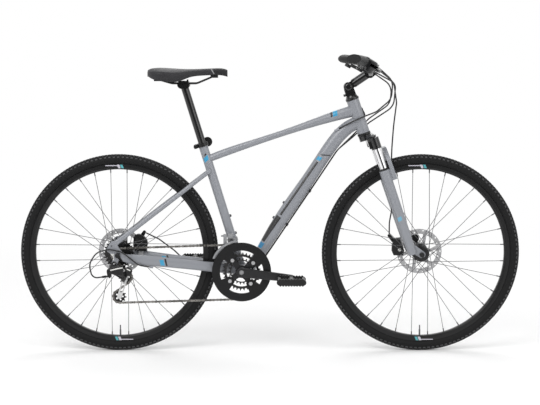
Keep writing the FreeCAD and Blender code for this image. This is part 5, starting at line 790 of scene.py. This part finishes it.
def frame_cables():
    """The housings between bar and frame, and those that stay on the frame."""
    def crosses(low, high):
        return high[0] > HEAD_X

    def brake_tail(low, high):
        return high[0] < 0.0 and low[0] > SHIFT_LOOP_X

    def shift_loop(low, high):
        return low[0] < SHIFT_LOOP_X

    lower = merged_copy("control_cables", "frame_cables")
    keep_islands(lower, crosses)
    upper = lower.copy()
    upper.name = "bar_cables"
    first = bending("frame_cables", part_below(lower, BAR_LOOP_CUT), STEER_BEND)
    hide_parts("control_cables")
    bending("bar_cables", part_above(upper, BAR_LOOP_CUT), STEM_BEND)
    tail = merged_copy("control_cables", "rear_brake_cable")
    keep_islands(tail, brake_tail)
    reach = [vertex.co.x for vertex in tail.vertices]
    bending("rear_brake_cable", tail,
            ((max(reach) - ARM_BEND_LEAD, 0, 0), (min(reach) + ARM_BEND_END, 0, 0)))
    loop = merged_copy("control_cables", "shift_loop")
    keep_islands(loop, shift_loop)
    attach(housing("shift_loop", loop), "frame")


def front_hose():
    """The front brake's housing from bar to fork leg, and its wire at the arm."""
    top = merged_copy("front_brake_cable", "front_brake_upper")
    middle = top.copy()
    wire = top.copy()
    bending("front_brake_upper", part_above(top, HOSE_CUT), STEM_BEND)
    run = part_above(part_below(middle, HOSE_CUT), WIRE_CUT)
    piece = bending("front_brake_run", run, FORK_BEND)
    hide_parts("front_brake_cable")
    low = min(vertex.co.z for vertex in wire.vertices)
    bending("front_brake_wire", part_below(wire, WIRE_CUT),
            ((0, 0, WIRE_CUT - WIRE_BEND_LEAD), (0, 0, low + ARM_BEND_END)))


frame_cables()
front_hose()


# Small fittings

# Size of the outline and share of the depth, from back to front
DOME = [(1.0, 0.0), (1.0, 0.5), (0.95, 0.85), (0.85, 1.0)]
LINE_HALF_WIDTH = 0.0018
LINK_COVER_BACK, LINK_COVER_FRONT = -0.1070, -0.1130
LINK_COVER_OUTLINE = [
    (-0.5590, 0.2990), (-0.5540, 0.3100), (-0.5400, 0.3155), (-0.5250, 0.3175), (-0.5125, 0.3165),
    (-0.5115, 0.3000), (-0.5130, 0.2850), (-0.5290, 0.2840), (-0.5440, 0.2865), (-0.5550, 0.2910)]
LINK_COVER_LINES = [
    # x, z, direction, half length
    (-0.5440, 0.3050, (0.97, 0, 0.24), 0.0115), (-0.5230, 0.3095, (0.99, 0, 0.14), 0.0105)]
KNUCKLE_COVER_BACK, KNUCKLE_COVER_FRONT = -0.0990, -0.1060
KNUCKLE_COVER_OUTLINE = [
    (-0.4990, 0.3130), (-0.4945, 0.3120), (-0.4875, 0.3080), (-0.4800, 0.3000), (-0.4830, 0.2910),
    (-0.4900, 0.2855), (-0.4950, 0.2840), (-0.4990, 0.2855), (-0.5000, 0.3000)]
KNUCKLE_COVER_LINES = [(-0.4925, 0.3030, (0.91, 0, -0.42), 0.0065)]
STOP_ARM_BACK, STOP_ARM_FRONT = -0.0870, -0.0950
STOP_ARM_OUTLINE = [
    (-0.5700, 0.3000), (-0.5600, 0.3060), (-0.5540, 0.2960), (-0.5555, 0.2760), (-0.5630, 0.2720),
    (-0.5690, 0.2840)]
# Ends of the barrel; profiles are shares of a pin's length and radii
BARREL_START, BARREL_END = (-0.5880, -0.091, 0.2755), (-0.5600, -0.091, 0.2794)
BARREL_PROFILE = [(0, 0.0028), (0.12, 0.0040), (0.55, 0.0040), (0.58, 0.0030), (1, 0.0030)]
BOSS_START, BOSS_END = (-0.530, -0.096, 0.2927), (-0.530, -0.109, 0.2927)
BOSS_PROFILE = [(0, 0.006), (1, 0.006)]
HEAD_UP = Vector((-0.32557, 0, 0.94552))
HEAD_FRONT = Vector((0.94552, 0, 0.32557))
HEAD_LOW = Vector((0.3299, 0, 0.7754))
HEAD_RADIUS = 0.0212
HOLDER_HEIGHT = 0.070
HOLDER_FOOT = HEAD_LOW + HEAD_UP * HOLDER_HEIGHT + HEAD_FRONT * HEAD_RADIUS
HOLDER_PROFILE = [
    # along the head tube, out from it
    (-0.015, 0.0), (-0.013, 0.0045), (-0.004, 0.0050), (0.006, 0.0032), (0.014, 0.0026), (0.016, 0.0)]
HOLDER_HALF = 0.006
SCREW_X, SCREW_Z = 0.4617, 0.3565
SCREW_SUNK, SCREW_PROUD = 0.004, 0.0012
SCREW_PROFILE = [(0, 0.0056), (0.9, 0.0056), (1, 0.0050)]


def outline_curve(corners, steps=6):
    """A smooth closed line through the corners of a side view."""
    corners = np.array(corners)
    before, after, beyond = np.roll(corners, 1, 0), np.roll(corners, -1, 0), np.roll(corners, -2, 0)
    points = []
    for share in np.linspace(0, 1, steps, endpoint=False):
        points.append(0.5 * (2 * corners + (after - before) * share
                             + (2 * before - 5 * corners + 4 * after - beyond) * share ** 2
                             + (3 * corners - before - 3 * after + beyond) * share ** 3))
    return np.stack(points, axis=1).reshape(-1, 2)


def rings_mesh(name, rings, material):
    """A closed skin over rings of equally many points."""
    count = len(rings[0])
    shape = bmesh.new()
    rows = [[shape.verts.new(place) for place in ring] for ring in rings]
    for low, high in zip(rows, rows[1:]):
        for i in range(count):
            shape.faces.new((low[i], low[(i + 1) % count], high[(i + 1) % count], high[i]))
    shape.faces.new(rows[0])
    shape.faces.new(rows[-1])
    bmesh.ops.recalc_face_normals(shape, faces=shape.faces)
    for face in shape.faces:
        face.smooth = len(face.verts) == 4
    mesh = bpy.data.meshes.new(name)
    shape.to_mesh(mesh)
    shape.free()
    mesh.materials.append(material)
    return mesh


def domed_plate(name, corners, back, front, material):
    """A plate with that outline in the side view; its front edge is rounded by the dome's rings."""
    line = outline_curve(corners)
    middle = line.mean(0)
    rings = []
    for size, depth in DOME:
        flat = middle + (line - middle) * size
        rings.append([(x, back + (front - back) * depth, z) for x, z in flat])
    return shown(name, rings_mesh(name, rings, material))


def turned_pin(name, start, end, profile, material, sides=24):
    """A round pin; its profile is a list of shares of the length and radii."""
    start, end = Vector(start), Vector(end)
    way = end - start
    across = way.orthogonal().normalized()
    other = way.normalized().cross(across)
    rings = []
    for share, radius in profile:
        middle = start + way * share
        rings.append([middle + (across * math.cos(turn) + other * math.sin(turn)) * radius
                      for turn in np.linspace(0, 2 * math.pi, sides, endpoint=False)])
    return shown(name, rings_mesh(name, rings, material))


def striped_cover(name, stripes):
    """Black cover finish with silver lines."""
    material, tree, shader = new_material(name, BLACK, 0.34)
    shader.inputs["Specular IOR Level"].default_value = 0.4
    use_grain(tree, shader, 900.0, 0.30, 0.40, 0.0)
    paint_blocks(tree, shader, BLACK, [(SILVER, side_point(x, z), way, half, LINE_HALF_WIDTH, 0.0)
                                       for x, z, way, half in stripes])
    return material


def fitting(piece, body):
    """Gives a small fitting the body that carries it."""
    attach(piece, body)


def derailleur_covers():
    """The covers on the rear derailleur's link and lower knuckle, and the gear housing's stop."""
    link_black = striped_cover("link_cover_black", LINK_COVER_LINES)
    knuckle_black = striped_cover("knuckle_cover_black", KNUCKLE_COVER_LINES)
    cover = domed_plate("link_cover", LINK_COVER_OUTLINE, LINK_COVER_BACK, LINK_COVER_FRONT, link_black)
    fitting(cover, "derailleur_outer_link")
    boss = turned_pin("link_cover_boss", BOSS_START, BOSS_END, BOSS_PROFILE, SATIN_BLACK)
    fitting(boss, "derailleur_outer_link")
    cover = domed_plate("knuckle_cover", KNUCKLE_COVER_OUTLINE, KNUCKLE_COVER_BACK, KNUCKLE_COVER_FRONT,
                        knuckle_black)
    fitting(cover, "derailleur_p_knuckle")
    arm = domed_plate("shift_stop_arm", STOP_ARM_OUTLINE, STOP_ARM_BACK, STOP_ARM_FRONT, SATIN_BLACK)
    fitting(arm, "frame")
    barrel = turned_pin("shift_stop_barrel", BARREL_START, BARREL_END, BARREL_PROFILE, MOULDED_BLACK)
    fitting(barrel, "frame")


def cable_holder():
    """The small holder on the head tube's front."""
    corners = []
    for along, out in HOLDER_PROFILE:
        place = HOLDER_FOOT + HEAD_UP * along + HEAD_FRONT * out
        corners.append((place.x, place.z))
    holder = domed_plate("head_tube_holder", corners, HOLDER_HALF, -HOLDER_HALF, MOULDED_BLACK)
    fitting(holder, "frame")


def caliper_screw():
    """The slotted pad screw on the face of the front caliper that looks to the wheel."""
    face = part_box("front_brake_caliper")[0].y
    material, tree, shader = new_material("slotted_screw", SILVER, 0.35, 0.4)
    # The slot is not cut: a dark line painted across the silver face is painted shade for the slot's hollow
    paint_blocks(tree, shader, SILVER, [
        (INK, side_point(SCREW_X, SCREW_Z), (0.8, 0, 0.6), 0.0045, 0.0007, 0.0)])
    start, end = (SCREW_X, face + SCREW_SUNK, SCREW_Z), (SCREW_X, face - SCREW_PROUD, SCREW_Z)
    fitting(turned_pin("pad_screw", start, end, SCREW_PROFILE, material), "fork_lower")


derailleur_covers()
cable_holder()
caliper_screw()


# Stage

def stage_floor():
    """A pale floor that fades into the white surround."""
    bpy.ops.mesh.primitive_plane_add(size=2 * FLOOR_HALF, location=(0, 0, 0))
    floor = bpy.context.object
    floor.name = "floor"
    material, tree, shader = new_material("floor_white", FLOOR_COLOUR, 0.7)
    shader.inputs["Specular IOR Level"].default_value = 0.1
    place = add(tree, "ShaderNodeTexCoord")
    flat = add(tree, "ShaderNodeVectorMath", operation="LENGTH")
    fade = add(tree, "ShaderNodeMapRange", interpolation_type="SMOOTHSTEP")
    fade.inputs["From Min"].default_value = FLOOR_NEAR
    fade.inputs["From Max"].default_value = FLOOR_FAR
    path = add(tree, "ShaderNodeLightPath")
    seen = add(tree, "ShaderNodeMath", operation="ADD", use_clamp=True)
    seen_too = add(tree, "ShaderNodeMath", operation="ADD", use_clamp=True)
    both = add(tree, "ShaderNodeMath", operation="MULTIPLY")
    glow = add(tree, "ShaderNodeEmission")
    glow.inputs["Strength"].default_value = 1.0
    mix = add(tree, "ShaderNodeMixShader")
    tree.links.new(place.outputs["Object"], flat.inputs[0])
    tree.links.new(flat.outputs["Value"], fade.inputs["Value"])
    tree.links.new(path.outputs["Is Camera Ray"], seen.inputs[0])
    tree.links.new(path.outputs["Is Glossy Ray"], seen.inputs[1])
    tree.links.new(seen.outputs[0], seen_too.inputs[0])
    tree.links.new(path.outputs["Is Transmission Ray"], seen_too.inputs[1])
    tree.links.new(fade.outputs["Result"], both.inputs[0])
    tree.links.new(seen_too.outputs[0], both.inputs[1])
    tree.links.new(both.outputs[0], mix.inputs[0])
    tree.links.new(shader.outputs[0], mix.inputs[1])
    tree.links.new(glow.outputs[0], mix.inputs[2])
    tree.links.new(mix.outputs[0], tree.nodes["Material Output"].inputs["Surface"])
    floor.data.materials.append(material)


def surround():
    """White for the eye; polished metal sees it too, but darker behind the camera, as in a studio."""
    world = bpy.data.worlds.new("studio")
    scene.world = world
    world.use_nodes = True
    tree = world.node_tree
    background = tree.nodes["Background"]
    background.inputs["Color"].default_value = (1, 1, 1, 1)
    path = add(tree, "ShaderNodeLightPath")
    place = add(tree, "ShaderNodeTexCoord")
    parts = add(tree, "ShaderNodeSeparateXYZ")
    behind = add(tree, "ShaderNodeMapRange", interpolation_type="SMOOTHSTEP")
    behind.inputs["From Min"].default_value = DARK_FROM
    behind.inputs["From Max"].default_value = DARK_TO
    behind.inputs["To Min"].default_value = DARK_SIDE
    behind.inputs["To Max"].default_value = 1.0
    shiny = add(tree, "ShaderNodeMix", data_type="FLOAT")
    shiny.inputs[2].default_value = AMBIENT
    seen = add(tree, "ShaderNodeMath", operation="ADD", use_clamp=True)
    level = add(tree, "ShaderNodeMix", data_type="FLOAT")
    level.inputs[3].default_value = 1.0
    tree.links.new(place.outputs["Generated"], parts.inputs[0])
    tree.links.new(parts.outputs["Y"], behind.inputs["Value"])
    tree.links.new(path.outputs["Is Glossy Ray"], shiny.inputs[0])
    tree.links.new(behind.outputs["Result"], shiny.inputs[3])
    tree.links.new(path.outputs["Is Camera Ray"], seen.inputs[0])
    tree.links.new(path.outputs["Is Transmission Ray"], seen.inputs[1])
    tree.links.new(seen.outputs[0], level.inputs[0])
    tree.links.new(shiny.outputs[0], level.inputs[2])
    tree.links.new(level.outputs[0], background.inputs["Strength"])


def soft_light(name, place, aim_height, power):
    """A large square lamp aimed at the middle of the bicycle."""
    lamp = bpy.data.lights.new(name, "AREA")
    lamp.shape = "SQUARE"
    lamp.size = LAMP_SIZE
    lamp.energy = power
    holder = bpy.data.objects.new(name, lamp)
    holder.location = place
    way = Vector((0, 0, aim_height)) - Vector(place)
    holder.rotation_euler = way.to_track_quat("-Z", "Y").to_euler()
    scene.collection.objects.link(holder)


def photo_camera():
    """The camera at the photograph's height and distance."""
    lens = bpy.data.cameras.new("photo_camera")
    lens.lens = CAMERA_LENS
    lens.sensor_width = CAMERA_SENSOR
    lens.clip_end = CAMERA_REACH
    camera = bpy.data.objects.new("photo_camera", lens)
    camera.location = CAMERA_PLACE
    camera.rotation_euler = (CAMERA_AIM - CAMERA_PLACE).to_track_quat("-Z", "Y").to_euler()
    scene.collection.objects.link(camera)
    scene.camera = camera


stage_floor()
surround()
for name, place, aim_height, power in LAMPS:
    soft_light(name, place, aim_height, power)
photo_camera()
